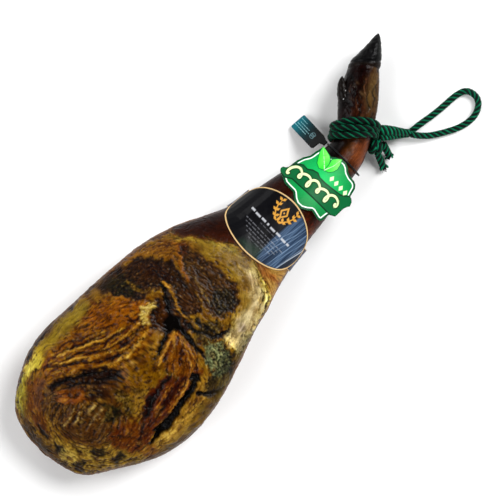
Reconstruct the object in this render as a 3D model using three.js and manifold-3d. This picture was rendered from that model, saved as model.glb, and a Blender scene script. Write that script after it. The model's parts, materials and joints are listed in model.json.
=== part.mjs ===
// Dry-cured ham on the bone, lying on its skin side with the open meat face up.
// One grown leg with its foot, a twisted two-colour hanging rope tied round the
// ankle, a paper wrap label round the shank, a die-cut card badge, and a plastic
// seal tag on a thin strap.
//
// Frame: millimetres, +X along the leg from the butt to the hoof, +Z up, z = 0 is
// the surface the ham lies on. The origin is under the middle of the leg's box.
import * as THREE from 'three';
import { mergeVertices } from 'three/addons/utils/BufferGeometryUtils.js';
import Module from 'manifold-3d';

const wasm = await Module();
wasm.setup();

// ---------------------------------------------------------------- dimensions
const RING = 36;            // points round one leg section
const SINK = 3.0;           // how much of the belly is flattened by its own weight
const ROPE_D = 8.3;         // twisted rope
const ROPE_R = ROPE_D / 2;
const LABEL_T = 1.0;        // wrap label thickness
const LABEL_BAND = [-17.5, 16.5];   // band edges along the shank from the label centre
const LABEL_OVAL = 43.5;    // half height of the oval front, along the shank
const LABEL_OVAL_MID = 3;
const LABEL_ARC = 86;       // half of the angle that the oval front covers, degrees
const LABEL_TURN = -14;     // angle of the oval's middle from the top, degrees
const BADGE_T = 1.0;
const BADGE_BEND = 75;      // radius the card is bent to, across the shank
const BADGE_SLOPE = -0.25;
const STRAP_W = 2.6;
const STRAP_T = 1.7;
const TAG_T = 2.0;
const TAG_TILT = 32;        // degrees the tag droops from its strap
const TAG_LENGTH = 45.9;
const TAG_WIDTH = 22.5;

// Leg sections from the butt to the coronary band. Each row is the left edge x, y
// (+Y side), the right edge x, y, the height of the crown and of the underside.
const SECTIONS = [
  [-336.0, 16.3, -334.8, -1.4, 44.0, 34.6],
  [-335.3, 26.1, -333.3, -11.6, 48.2, 30.7],
  [-333.9, 37.6, -331.0, -25.9, 53.6, 26.1],
  [-330.8, 50.0, -325.9, -41.4, 60.6, 20.4],
  [-326.0, 61.4, -315.1, -53.8, 68.8, 14.1],
  [-319.6, 70.9, -300.4, -63.4, 77.0, 8.5],
  [-311.6, 78.7, -286.0, -72.8, 84.4, 4.3],
  [-302.1, 85.7, -271.1, -83.0, 90.6, 1.6],
  [-291.3, 92.1, -253.6, -93.4, 95.4, 0.3],
  [-280.6, 97.7, -234.3, -102.4, 99.0, 0.0],
  [-270.3, 102.4, -214.6, -108.5, 101.5, 0.0],
  [-260.1, 106.4, -194.9, -111.7, 103.4, 0.0],
  [-246.8, 109.8, -173.9, -112.0, 105.4, 0.0],
  [-228.5, 112.0, -151.7, -110.1, 107.5, 0.0],
  [-208.3, 111.9, -131.9, -107.0, 109.3, 0.0],
  [-188.2, 110.2, -115.1, -102.8, 110.7, 0.0],
  [-167.3, 108.6, -99.2, -98.1, 111.7, 0.0],
  [-145.5, 106.9, -83.4, -93.3, 112.2, 0.0],
  [-122.6, 104.8, -67.6, -88.2, 112.1, 0.0],
  [-100.4, 102.4, -52.7, -83.5, 111.4, 0.0],
  [-81.4, 100.1, -39.4, -79.9, 110.2, 0.0],
  [-64.3, 97.4, -26.7, -77.1, 108.6, 0.0],
  [-46.2, 93.2, -14.6, -74.2, 106.6, 0.2],
  [-26.7, 86.8, -3.3, -71.2, 104.2, 0.8],
  [-9.0, 79.0, 7.3, -68.2, 101.4, 1.6],
  [7.4, 70.3, 17.5, -65.5, 98.5, 2.5],
  [25.2, 60.6, 28.0, -63.2, 95.5, 3.5],
  [42.5, 52.0, 39.9, -60.9, 92.5, 4.5],
  [56.4, 46.6, 53.3, -58.2, 89.6, 5.4],
  [68.8, 43.3, 67.3, -55.5, 86.8, 6.2],
  [81.6, 40.5, 80.7, -53.6, 84.0, 6.9],
  [95.1, 37.5, 93.2, -52.4, 81.2, 7.5],
  [109.5, 34.2, 105.3, -51.6, 78.4, 8.0],
  [124.4, 30.6, 118.0, -50.4, 75.5, 8.5],
  [138.8, 27.0, 131.7, -48.5, 72.6, 9.0],
  [152.0, 23.1, 146.3, -45.9, 69.7, 9.5],
  [163.1, 19.2, 160.8, -43.0, 66.9, 10.1],
  [172.1, 15.7, 173.8, -40.7, 64.4, 10.8],
  [179.8, 13.0, 185.2, -39.3, 62.0, 11.4],
  [187.3, 11.1, 195.4, -38.1, 59.9, 12.0],
  [194.7, 10.2, 204.7, -36.0, 58.1, 12.5],
  [201.7, 11.1, 213.4, -32.9, 56.7, 12.9],
  [208.3, 13.9, 222.3, -28.9, 55.7, 13.1],
  [214.4, 17.9, 232.5, -23.5, 55.1, 13.3],
  [220.3, 22.7, 243.5, -17.5, 54.8, 13.3],
  [226.7, 28.3, 254.0, -11.5, 54.8, 13.2],
  [233.8, 34.8, 263.7, -5.4, 55.1, 12.9],
  [241.3, 41.1, 273.0, 1.3, 55.5, 12.5],
  [248.7, 46.0, 281.9, 8.3, 56.0, 12.0],
  [255.8, 49.4, 289.6, 14.9, 56.5, 11.5],
  [262.5, 52.0, 295.8, 20.7, 56.8, 11.1],
  [268.7, 54.5, 300.7, 25.3, 57.0, 10.8],
  [274.6, 57.0, 304.4, 29.0, 57.0, 10.7],
  [280.2, 59.4, 307.5, 32.1, 57.0, 10.5],
];
const BUTT = [-335.4, 7.4, 40];      // middle of the rounded butt end

// Section shape by station: share of the height where the section is widest, and
// the squareness of its upper and lower half (2 is an ellipse).
const SHAPE_KEYS = [
  [0, 0.50, 2.2, 2.1], [6, 0.53, 2.5, 2.15], [12, 0.56, 2.75, 2.2], [20, 0.56, 2.7, 2.2],
  [27, 0.53, 2.35, 2.2], [34, 0.50, 2.2, 2.15], [41, 0.50, 2.1, 2.1], [53, 0.50, 2.3, 2.3],
];

const FOOT_Z = 33.8;        // height of the plane between the two claws
const CLAW_BACK = [[276.2, 56.3], [281.4, 59.9], [287.7, 62.5], [296.2, 61.8], [305.4, 61.5], [314.1, 61.3], [321.8, 61.4], [328.5, 61.7], [333.6, 61.3]];
const CLAW_FRONT = [[302.3, 28.3], [308.4, 31.0], [314.9, 35.0], [319.8, 39.4], [324.8, 44.4], [329.5, 49.2], [333.2, 53.6], [335.7, 57.1], [336.6, 59.5]];
const CLAW_TIP = [336.2, 61.0];
const CLAW_DEPTH = [19, 22, 22, 20.5, 18.5, 16, 12.5, 8.5, 4.5];
const CLAW_CLEFT = [0.6, 0.6, 0.9, 1.3, 1.6, 1.6, 1.4, 1.2, 1.0];
const DEW_PATH = [[246.6, 35.8], [251.0, 42.1], [255.8, 47.9], [260.2, 52.4], [263.5, 55.3]];
const DEW_TIP = [265.5, 57.0];
const DEW_R = [7.0, 6.6, 5.4, 3.9, 2.2];
const DEW_Z = 12.5;         // dewclaws sit this far above and below the foot's mid plane

const WRAP_STATION = [43.0, 0.85, 0.6];   // middle, swing to the right side, swing to the top
const NECK_PATH = [[246.4, -26.0], [250.8, -31.3], [255.7, -37.0], [260.6, -42.6], [265.7, -48.1], [270.3, -52.4], [273.1, -54.9]];
const NECK_Z = [27, 25.2, 21.8, 17.8, 13.9, 10.6, 9.3];
const NECK_W = [9.4, 10, 9.8, 9.0, 7.6, 5.6, 4.4];
const NECK_H = [9.4, 9.6, 9.2, 8.8, 8.4, 8.4, 8.4];
const KNOT_C = [230.4, -32.6, 21];
const KNOT_R = [8.6, 8.2, 9.6];
const LOOP_PATH = [[273.9, -55.0], [280.5, -54.8], [288.5, -56.0], [299.2, -58.0], [309.7, -60.1], [322.4, -62.0], [333.8, -63.2], [343.9, -64.1], [353.0, -65.9], [359.4, -68.5], [363.6, -73.1], [365.5, -79.9], [364.7, -87.1], [360.7, -92.9], [353.7, -97.4], [345.5, -99.6], [336.3, -99.4], [326.8, -97.1], [316.7, -92.9], [306.5, -87.0], [296.7, -80.8], [287.5, -74.0], [279.8, -65.8], [275.4, -59.6], [273.2, -55.7]];
const LOOP_RISE = { 18: 4.5, 19: 4.8, 20: 5.8, 21: 7.6, 22: 9.9, 23: 11.9, 24: 12.9 };
const LOOP_Z = 4.4;
const TAIL_A = [[227.6, -40.1], [225.2, -45.7], [222.6, -52.1], [220.5, -57.2], [218.7, -61.3]];
const TAIL_A_Z = [19, 13.5, 8.8, 5.8, 4.7];
const TAIL_B = [[240.2, -38.7], [238.7, -43.6], [237.2, -48.5], [235.9, -52.7], [234.7, -56.4]];
const TAIL_B_Z = [22, 17, 12, 8.2, 5.6];

const LABEL_C = [61.6, -5.9, 47];
const LABEL_DIR = new THREE.Vector3(0.9984, -0.0562, 0).normalize();
const BADGE_C = [145.4, -13.3];
const BADGE_X = new THREE.Vector3(0.0521, -0.9986, 0).normalize();
const BADGE_Y = new THREE.Vector3(0.9986, 0.0521, 0).normalize();
const BADGE_TOP = [[-48.4, -11], [-46.5, -6.5], [-42, -3.5], [-41, 6], [-38, 15], [-30.5, 22.5], [-26.5, 31],
  [-20, 36.5], [-9, 38.4], [1, 41.2], [9, 41.4], [15.5, 39.4], [21, 35.5], [31, 33], [37.8, 27.5], [40.2, 19.5],
  [40.6, 13.8], [45.8, 11.8], [48.4, 5]];
const BADGE_BOTTOM = [[-48.4, -13], [-45, -19], [-37, -22.4], [-19, -25.6], [-13, -32.6], [-5, -36.4], [4, -36.8],
  [12, -32], [17, -29.6], [28.5, -31.6], [35, -28.6], [37.6, -18.5], [43.6, -14.6], [46, -3.5], [48.4, 3]];
const STRAP_C = [190.2, -14.7, 35];
const STRAP_DIR = new THREE.Vector3(0.9991, -0.0417, 0).normalize();
const STRAP_SLACK = 3.2;    // how far the strap stands off on the right side
const TAG_ROOT = [184.0, 14.2, 33];
const TAG_DIR = [0.0970, 0.9953];

// ---------------------------------------------------------------- helpers
const lerp = (a, b, t) => a + (b - a) * t;
const clamp = (v, lo, hi) => Math.min(hi, Math.max(lo, v));
const spow = (v, p) => Math.sign(v) * Math.pow(Math.abs(v), p);

function cubic(p0, p1, p2, p3, t) {
  const t2 = t * t, t3 = t2 * t;
  return 0.5 * (2 * p1 + (p2 - p0) * t + (2 * p0 - 5 * p1 + 4 * p2 - p3) * t2 + (3 * p1 - p0 - 3 * p2 + p3) * t3);
}

function sectionRow(s) {
  const n = SECTIONS.length;
  const i = clamp(Math.floor(s), 0, n - 2), t = s - i;
  const a = SECTIONS[Math.max(i - 1, 0)], b = SECTIONS[i], c = SECTIONS[i + 1], d = SECTIONS[Math.min(i + 2, n - 1)];
  return b.map((_, k) => cubic(a[k], b[k], c[k], d[k], t));
}

function sectionShape(s) {
  let i = 0;
  while (i < SHAPE_KEYS.length - 2 && s > SHAPE_KEYS[i + 1][0]) i++;
  const a = SHAPE_KEYS[i], b = SHAPE_KEYS[i + 1], t = clamp((s - a[0]) / (b[0] - a[0]), 0, 1);
  return [1, 2, 3].map((k) => lerp(a[k], b[k], t));
}

// Point on the leg at station s and angle phi: 0 is the right edge, 90 degrees the
// crown, 180 the left edge.
function legPoint(s, phi) {
  const [xl, yl, xr, yr, zt, zb] = sectionRow(s);
  const [edge, nTop, nLow] = sectionShape(s);
  const sink = SINK * clamp((22 - s) / 4, 0, 1) * clamp((s - 5) / 5, 0, 1);
  const low = zb - sink, mid = lerp(low, zt, edge), hx = (xr - xl) / 2, hy = (yr - yl) / 2;
  const c = Math.cos(phi), q = Math.sin(phi), n = q >= 0 ? nTop : nLow;
  const a = spow(c, 2 / n), b = Math.pow(Math.abs(q), 2 / n);
  const z = q >= 0 ? lerp(mid, zt, b) : lerp(mid, low, b);
  return new THREE.Vector3((xl + xr) / 2 + hx * a, (yl + yr) / 2 + hy * a, Math.max(z, 0));
}

// Closed solid from rings of points, each ring with the same count, capped by a
// point at each end.
function skinRings(rings, first, last) {
  const n = rings[0].length, pos = [], idx = [];
  for (const r of rings) for (const p of r) pos.push(p.x, p.y, p.z);
  const a = pos.length / 3; pos.push(first.x, first.y, first.z);
  const b = a + 1; pos.push(last.x, last.y, last.z);
  for (let j = 0; j < rings.length - 1; j++)
    for (let i = 0; i < n; i++) {
      const i2 = (i + 1) % n, p = j * n + i, q = j * n + i2, u = (j + 1) * n + i, v = (j + 1) * n + i2;
      idx.push(p, q, v, p, v, u);
    }
  const m = (rings.length - 1) * n;
  for (let i = 0; i < n; i++) {
    const i2 = (i + 1) % n;
    idx.push(a, i2, i, b, m + i, m + i2);
  }
  return orient(indexed(pos, idx));
}

// Closed ring-shaped solid: sections[i] is the closed profile at step i, and the
// last section joins the first.
function skinTorus(sections) {
  const m = sections.length, n = sections[0].length, pos = [], idx = [];
  for (const r of sections) for (const p of r) pos.push(p.x, p.y, p.z);
  for (let j = 0; j < m; j++)
    for (let i = 0; i < n; i++) {
      const j2 = (j + 1) % m, i2 = (i + 1) % n;
      const p = j * n + i, q = j * n + i2, u = j2 * n + i, v = j2 * n + i2;
      idx.push(p, q, v, p, v, u);
    }
  return orient(indexed(pos, idx));
}

function indexed(pos, idx) {
  const g = new THREE.BufferGeometry();
  g.setAttribute('position', new THREE.Float32BufferAttribute(pos, 3));
  g.setIndex(idx);
  return g;
}

function orient(g) {
  const p = g.attributes.position, id = g.index.array;
  let vol = 0;
  const a = new THREE.Vector3(), b = new THREE.Vector3(), c = new THREE.Vector3();
  for (let i = 0; i < id.length; i += 3) {
    a.fromBufferAttribute(p, id[i]); b.fromBufferAttribute(p, id[i + 1]); c.fromBufferAttribute(p, id[i + 2]);
    vol += a.dot(b.clone().cross(c));
  }
  if (vol < 0) for (let i = 0; i < id.length; i += 3) { const t = id[i + 1]; id[i + 1] = id[i + 2]; id[i + 2] = t; }
  return g;
}

function toSolid(geometry) {
  const g = geometry.clone();
  g.deleteAttribute('normal'); g.deleteAttribute('uv');
  const m = mergeVertices(g, 1e-3);
  return new wasm.Manifold(new wasm.Mesh({
    numProp: 3,
    vertProperties: new Float32Array(m.attributes.position.array),
    triVerts: new Uint32Array(m.index.array),
  }));
}

function toGeometry(solid) {
  const m = solid.getMesh();
  const pos = [];
  for (let i = 0; i < m.vertProperties.length / m.numProp; i++)
    pos.push(m.vertProperties[i * m.numProp], m.vertProperties[i * m.numProp + 1], m.vertProperties[i * m.numProp + 2]);
  return indexed(pos, Array.from(m.triVerts));
}

// A solid with g of room round it: the union of its copies moved along each axis.
function withRoom(solid, g = 0.55) {
  const d = [[g, 0, 0], [-g, 0, 0], [0, g, 0], [0, -g, 0], [0, 0, g], [0, 0, -g]];
  return d.reduce((sum, v) => sum.add(solid.translate(v)), solid);
}

// Keeps only the largest body of a solid.
function mainBody(solid) {
  const parts = solid.decompose();
  parts.sort((p, q) => q.volume() - p.volume());
  return parts[0];
}

// ---------------------------------------------------------------- leg and foot
function legGeometry(from = 0, to = SECTIONS.length - 1) {
  const rings = [];
  for (let s = from; s <= to; s++) {
    const r = [];
    for (let i = 0; i < RING; i++) r.push(legPoint(s, (i / RING) * 2 * Math.PI));
    rings.push(r);
  }
  const mid = (r) => r.reduce((a, p) => a.add(p), new THREE.Vector3()).divideScalar(r.length);
  const first = from === 0 ? new THREE.Vector3(...BUTT) : mid(rings[0]);
  return skinRings(rings, first, mid(rings[rings.length - 1]));
}

function clawGeometry(side) {
  const rings = [];
  CLAW_BACK.forEach((back, k) => {
    const front = CLAW_FRONT[k], c = [(back[0] + front[0]) / 2, (back[1] + front[1]) / 2];
    const h = [(front[0] - back[0]) / 2, (front[1] - back[1]) / 2];
    const r = [];
    for (let i = 0; i < 14; i++) {      // outer wall
      const a = (i / 14) * Math.PI;
      r.push(new THREE.Vector3(c[0] + h[0] * spow(Math.cos(a), 0.8), c[1] + h[1] * spow(Math.cos(a), 0.8),
        FOOT_Z + side * (CLAW_CLEFT[k] + 0.12 * CLAW_DEPTH[k] + 0.88 * CLAW_DEPTH[k] * Math.pow(Math.sin(a), 0.85))));
    }
    for (let i = 0; i < 6; i++) {       // inner wall, facing the other claw
      const a = Math.PI + (i / 6) * Math.PI;
      r.push(new THREE.Vector3(c[0] + h[0] * spow(Math.cos(a), 0.8), c[1] + h[1] * spow(Math.cos(a), 0.8),
        FOOT_Z + side * (CLAW_CLEFT[k] + 0.12 * CLAW_DEPTH[k] * (1 + Math.sin(a)))));
    }
    rings.push(r);
  });
  const k0 = CLAW_BACK[0], f0 = CLAW_FRONT[0];
  const base = new THREE.Vector3((k0[0] + f0[0]) / 2 - 2, (k0[1] + f0[1]) / 2 - 1.6, FOOT_Z + side * 10);
  return skinRings(rings, base, new THREE.Vector3(CLAW_TIP[0], CLAW_TIP[1], FOOT_Z + side * 3));
}

function dewGeometry(side) {
  const rings = DEW_PATH.map((p, k) => {
    const q = DEW_PATH[Math.min(k + 1, DEW_PATH.length - 1)], o = DEW_PATH[Math.max(k - 1, 0)];
    const d = new THREE.Vector3(q[0] - o[0], q[1] - o[1], 0).normalize(), n = new THREE.Vector3(-d.y, d.x, 0);
    const r = [];
    for (let i = 0; i < 12; i++) {
      const a = (i / 12) * 2 * Math.PI;
      r.push(new THREE.Vector3(p[0], p[1], FOOT_Z + side * (DEW_Z + k * 0.5))
        .addScaledVector(n, DEW_R[k] * Math.cos(a)).add(new THREE.Vector3(0, 0, DEW_R[k] * 0.9 * Math.sin(a))));
    }
    return r;
  });
  return skinRings(rings, new THREE.Vector3(DEW_PATH[0][0] - 2, DEW_PATH[0][1] - 2, FOOT_Z + side * (DEW_Z - 1)),
    new THREE.Vector3(DEW_TIP[0], DEW_TIP[1], FOOT_Z + side * (DEW_Z + 2.5)));
}

const hamSolid = [clawGeometry(1), clawGeometry(-1), dewGeometry(1), dewGeometry(-1)]
  .reduce((solid, g) => solid.add(toSolid(g)), toSolid(legGeometry()));
const hamGeometry = toGeometry(hamSolid);

// ---------------------------------------------------------------- rope
// Three turns side by side round the ankle, as one grooved ring.
const WRAP_PROFILE = [[-12.4, 0], [-6.2, 0], [0, 0], [6.2, 0], [12.4, 0], [13.0, 4.1], [10.6, 7.6], [8.4, 8.2], [6.2, 7.6],
  [4.2, 5.9], [2.2, 7.7], [0, 8.2], [-2.2, 7.7], [-4.2, 5.9], [-6.2, 7.6], [-8.4, 8.2], [-10.6, 7.6], [-13.0, 4.1]];
function wrapGeometry() {
  const sections = [], N = 32, [sm, sr, st] = WRAP_STATION;
  for (let i = 0; i < N; i++) {
    const phi = (i / N) * 2 * Math.PI, c = Math.cos(phi), q = Math.sin(phi);
    const s = sm + sr * c + st * q;
    const ds = legPoint(s + 0.2, phi).sub(legPoint(s - 0.2, phi)).divideScalar(0.4);
    const dp = legPoint(s, phi + 0.02).sub(legPoint(s, phi - 0.02));
    const n = dp.clone().cross(ds).normalize();
    const mid = legPoint(sm, 0).add(legPoint(sm, Math.PI)).multiplyScalar(0.5);
    if (n.dot(legPoint(s, phi).sub(mid)) < 0) n.negate();
    const wide = 0.78 - 0.06 * c + 0.24 * Math.abs(q);
    sections.push(WRAP_PROFILE.map(([w, o]) => {
      return legPoint(s + (w * wide) / ds.length(), phi).addScaledVector(n, 0.65 + o);
    }));
  }
  return skinTorus(sections);
}

function taperTube(path, z, w, h, sides = 20) {
  const pts = path.map((p, i) => new THREE.Vector3(p[0], p[1], z[i]));
  const rings = pts.map((p, i) => {
    const d = pts[Math.min(i + 1, pts.length - 1)].clone().sub(pts[Math.max(i - 1, 0)]).normalize();
    const side = new THREE.Vector3(-d.y, d.x, 0).normalize(), up = d.clone().cross(side).negate();
    if (up.z < 0) up.negate();
    const r = [];
    for (let k = 0; k < sides; k++) {
      const a = (k / sides) * 2 * Math.PI;
      r.push(p.clone().addScaledVector(side, w[i] * Math.cos(a)).addScaledVector(up, h[i] * Math.sin(a)));
    }
    return r;
  });
  return skinRings(rings, pts[0], pts[pts.length - 1]);
}

function ropeTube(points, steps, sides = 12) {
  const curve = new THREE.CatmullRomCurve3(points, false, 'centripetal');
  const circle = new THREE.Shape();
  for (let i = 0; i < sides; i++) {
    const a = ((i + 0.5) / sides) * 2 * Math.PI;
    if (i === 0) circle.moveTo(ROPE_R * Math.cos(a), ROPE_R * Math.sin(a));
    else circle.lineTo(ROPE_R * Math.cos(a), ROPE_R * Math.sin(a));
  }
  circle.closePath();
  return new THREE.ExtrudeGeometry(circle, { steps, extrudePath: curve, bevelEnabled: false });
}

const legGrown = withRoom(toSolid(legGeometry(38, 48)));
const wrapSolid = toSolid(wrapGeometry());
const wrapGrown = withRoom(wrapSolid);
const neckSolid = mainBody(toSolid(taperTube(NECK_PATH, NECK_Z, NECK_W, NECK_H)).subtract(wrapGrown));
const neckGrown = withRoom(neckSolid);
const knotBall = new THREE.SphereGeometry(1, 18, 12).scale(...KNOT_R).translate(...KNOT_C);
const knotSolid = mainBody(toSolid(knotBall).subtract(wrapGrown).subtract(neckGrown).subtract(legGrown));
const knotGrown = withRoom(toSolid(knotBall));
const line3 = (xy, z) => xy.map((p, i) => new THREE.Vector3(p[0], p[1], z[i]));
const tailASolid = mainBody(toSolid(ropeTube(line3(TAIL_A, TAIL_A_Z), 8, 10)).subtract(knotGrown).subtract(legGrown));
const tailBSolid = mainBody(toSolid(ropeTube(line3(TAIL_B, TAIL_B_Z), 6, 10)).subtract(knotGrown).subtract(neckGrown).subtract(wrapGrown));
const loopPoints = LOOP_PATH.map((p, i) => new THREE.Vector3(p[0], p[1], LOOP_RISE[i] ?? LOOP_Z));
const loopSolid = mainBody(toSolid(ropeTube(loopPoints, 64, 8)).subtract(neckGrown));

// ---------------------------------------------------------------- labels
function caster(geometries) {
  const meshes = geometries.map((g) => new THREE.Mesh(g, new THREE.MeshBasicMaterial({ side: THREE.DoubleSide })));
  const ray = new THREE.Raycaster();
  return (from, dir, far) => {
    ray.set(from, dir); ray.near = 0; ray.far = far;
    const hit = ray.intersectObjects(meshes, false);
    return hit.length ? hit[0].distance : null;
  };
}

const castHam = caster([hamGeometry]);

// Distance from an axis point out to the leg's skin, at angle t from the top (positive
// towards the right side).
function skinRadius(centre, dir, along, t) {
  const right = new THREE.Vector3(dir.y, -dir.x, 0);
  const out = new THREE.Vector3(0, 0, Math.cos(t)).addScaledVector(right, Math.sin(t));
  const p = new THREE.Vector3(...centre).addScaledVector(dir, along);
  const d = castHam(p.clone().addScaledVector(out, 160), out.clone().negate(), 160);
  return { out, p, r: d === null ? 0 : 160 - d };
}

function labelGeometry() {
  const N = 48, ROWS = 6, sections = [];
  for (let i = 0; i < N; i++) {
    const t = (i / N) * 2 * Math.PI - Math.PI;
    const off = (t * 180 / Math.PI - LABEL_TURN) / LABEL_ARC;
    const half = Math.abs(off) < 1 ? LABEL_OVAL * Math.sqrt(1 - off * off) : 0;
    const lo = Math.min(LABEL_BAND[0], LABEL_OVAL_MID - half), hi = Math.max(LABEL_BAND[1], LABEL_OVAL_MID + half);
    let taut = 0;
    for (let k = 0; k <= 4; k++) taut = Math.max(taut, skinRadius(LABEL_C, LABEL_DIR, lerp(LABEL_BAND[0], LABEL_BAND[1], k / 4), t).r);
    const inner = [], outer = [];
    for (let k = 0; k <= ROWS; k++) {
      const along = lerp(lo, hi, k / ROWS), s = skinRadius(LABEL_C, LABEL_DIR, along, t);
      const r = s.r + 0.8 + lerp(0.22, 0.45, Math.abs(Math.sin(t))) * Math.max(0, taut - s.r);
      inner.push(s.p.clone().addScaledVector(s.out, r));
      outer.push(s.p.clone().addScaledVector(s.out, r + LABEL_T));
    }
    sections.push([...inner, ...outer.reverse()]);
  }
  return skinTorus(sections);
}
const labelGeom = labelGeometry();

function outlineAt(list, x) {
  let i = 0;
  while (i < list.length - 2 && x > list[i + 1][0]) i++;
  const a = list[i], b = list[i + 1];
  return lerp(a[1], b[1], clamp((x - a[0]) / (b[0] - a[0]), 0, 1));
}

function badgeGeometry() {
  const COLS = 30, ROWS = 4, cast = caster([hamGeometry, labelGeom]);
  const cells = [];
  let lift = -1e9;
  for (let i = 0; i <= COLS; i++) {
    const x = lerp(-48.4, 48.4, i / COLS), top = outlineAt(BADGE_TOP, x), low = outlineAt(BADGE_BOTTOM, x);
    const col = [];
    for (let k = 0; k <= ROWS; k++) {
      const y = lerp(low, top, k / ROWS);
      const p = new THREE.Vector3(BADGE_C[0], BADGE_C[1], 0).addScaledVector(BADGE_X, x).addScaledVector(BADGE_Y, y);
      p.z = BADGE_SLOPE * y - (x * x) / (2 * BADGE_BEND);
      const d = cast(new THREE.Vector3(p.x, p.y, 300), new THREE.Vector3(0, 0, -1), 300);
      if (d !== null) lift = Math.max(lift, 300 - d + 0.7 - p.z);
      col.push(p);
    }
    cells.push(col);
  }
  const pos = [], idx = [], n = ROWS + 1, m = COLS + 1;
  for (const up of [0, BADGE_T]) for (const col of cells) for (const p of col) pos.push(p.x, p.y, p.z + lift + up);
  const at = (layer, i, k) => layer * n * m + i * n + k;
  const quad = (a, b, c, d) => idx.push(a, b, c, a, c, d);
  for (let i = 0; i < COLS; i++) for (let k = 0; k < ROWS; k++) {
    quad(at(1, i, k), at(1, i + 1, k), at(1, i + 1, k + 1), at(1, i, k + 1));
    quad(at(0, i, k), at(0, i, k + 1), at(0, i + 1, k + 1), at(0, i + 1, k));
  }
  for (let i = 0; i < COLS; i++) {
    quad(at(0, i, 0), at(0, i + 1, 0), at(1, i + 1, 0), at(1, i, 0));
    quad(at(0, i + 1, ROWS), at(0, i, ROWS), at(1, i, ROWS), at(1, i + 1, ROWS));
  }
  for (let k = 0; k < ROWS; k++) {
    quad(at(0, 0, k + 1), at(0, 0, k), at(1, 0, k), at(1, 0, k + 1));
    quad(at(0, COLS, k), at(0, COLS, k + 1), at(1, COLS, k + 1), at(1, COLS, k));
  }
  return orient(indexed(pos, idx));
}

// ---------------------------------------------------------------- seal
function strapGeometry() {
  const N = 48, sections = [];
  for (let i = 0; i < N; i++) {
    const t = (i / N) * 2 * Math.PI - Math.PI, deg = t * 180 / Math.PI;
    let r = 0, s = null;
    for (const a of [-STRAP_W / 2, 0, STRAP_W / 2]) { const q = skinRadius(STRAP_C, STRAP_DIR, a, t); r = Math.max(r, q.r); s = a === 0 ? q : s; }
    r += 0.5 + STRAP_SLACK * Math.exp(-(((deg - 88) / 26) ** 2));
    const ring = [];
    for (const [a, o] of [[-0.5, 0], [0.5, 0], [0.5, 1], [-0.5, 1]])
      ring.push(s.p.clone().addScaledVector(STRAP_DIR, a * STRAP_W).addScaledVector(s.out, r + o * STRAP_T));
    sections.push(ring);
  }
  return skinTorus(sections);
}

function tagGeometry() {
  const e = TAG_LENGTH + 8.6, w = TAG_WIDTH / 2, c = 2.2, s = new THREE.Shape();
  s.moveTo(9.2, 0.6);
  s.lineTo(9.4, 5); s.lineTo(w, 8.6 + c); s.lineTo(w, e - c); s.absarc(w - c, e - c, c, 0, Math.PI / 2, false);
  s.lineTo(-w + c, e); s.absarc(-w + c, e - c, c, Math.PI / 2, Math.PI, false);
  s.lineTo(-w, 8.6 + c); s.lineTo(-w + c, 8.6); s.lineTo(0, 8.2); s.lineTo(2.0, 4.2); s.lineTo(2.6, 0.6);
  s.closePath();
  const g = new THREE.ExtrudeGeometry(s, { depth: TAG_T, bevelEnabled: false, curveSegments: 5 });
  g.translate(0, 0, -TAG_T / 2);
  const tilt = TAG_TILT * Math.PI / 180;
  const out = new THREE.Vector3(TAG_DIR[0] * Math.cos(tilt), TAG_DIR[1] * Math.cos(tilt), -Math.sin(tilt)).normalize();
  const across = new THREE.Vector3(TAG_DIR[1], -TAG_DIR[0], 0).normalize();
  const up = across.clone().cross(out).normalize();
  g.applyMatrix4(new THREE.Matrix4().makeBasis(across, out, up).setPosition(...TAG_ROOT));
  return g;
}
const strapGeom = strapGeometry();

// ---------------------------------------------------------------- assembly
const ham = new THREE.Group();
function addPart(name, geometry, color, roughness, metalness = 0) {
  geometry.deleteAttribute?.('uv');
  const flat = geometry.index ? geometry : mergeVertices(geometry, 1e-3);
  flat.computeVertexNormals();
  const mesh = new THREE.Mesh(flat, new THREE.MeshStandardMaterial({ color, roughness, metalness, flatShading: true }));
  mesh.name = name;
  ham.add(mesh);
}

addPart('ham_leg', hamGeometry, 0x8a5a22, 0.45);
addPart('rope_ankle_wrap', toGeometry(wrapSolid), 0x0e3a28, 0.7);
addPart('rope_knot', toGeometry(knotSolid), 0x0e3a28, 0.7);
addPart('rope_neck', toGeometry(neckSolid), 0x0e3a28, 0.7);
addPart('rope_loop', toGeometry(loopSolid), 0x0e3a28, 0.7);
addPart('rope_tail_a', toGeometry(tailASolid), 0x0e3a28, 0.7);
addPart('rope_tail_b', toGeometry(tailBSolid), 0x0e3a28, 0.7);
addPart('wrap_label', labelGeom, 0x0a0a0c, 0.3);
addPart('card_badge', badgeGeometry(), 0x0aa850, 0.35);
addPart('seal_strap', strapGeom, 0x0c0d10, 0.4);
addPart('seal_tag', tagGeometry(), 0x0f5a63, 0.35);

export default ham;
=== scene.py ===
"""A dry-cured ham lying on its rind with the open meat face up: the leg with its foot,
a twisted two-colour hanging rope, a wrap label, a card badge, and a seal tag on a thin
strap. Lengths in the tables are millimetres in the row frame."""
import json
import math

import bmesh
import bpy
import numpy as np
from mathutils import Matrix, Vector
from mathutils.bvhtree import BVHTree

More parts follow.
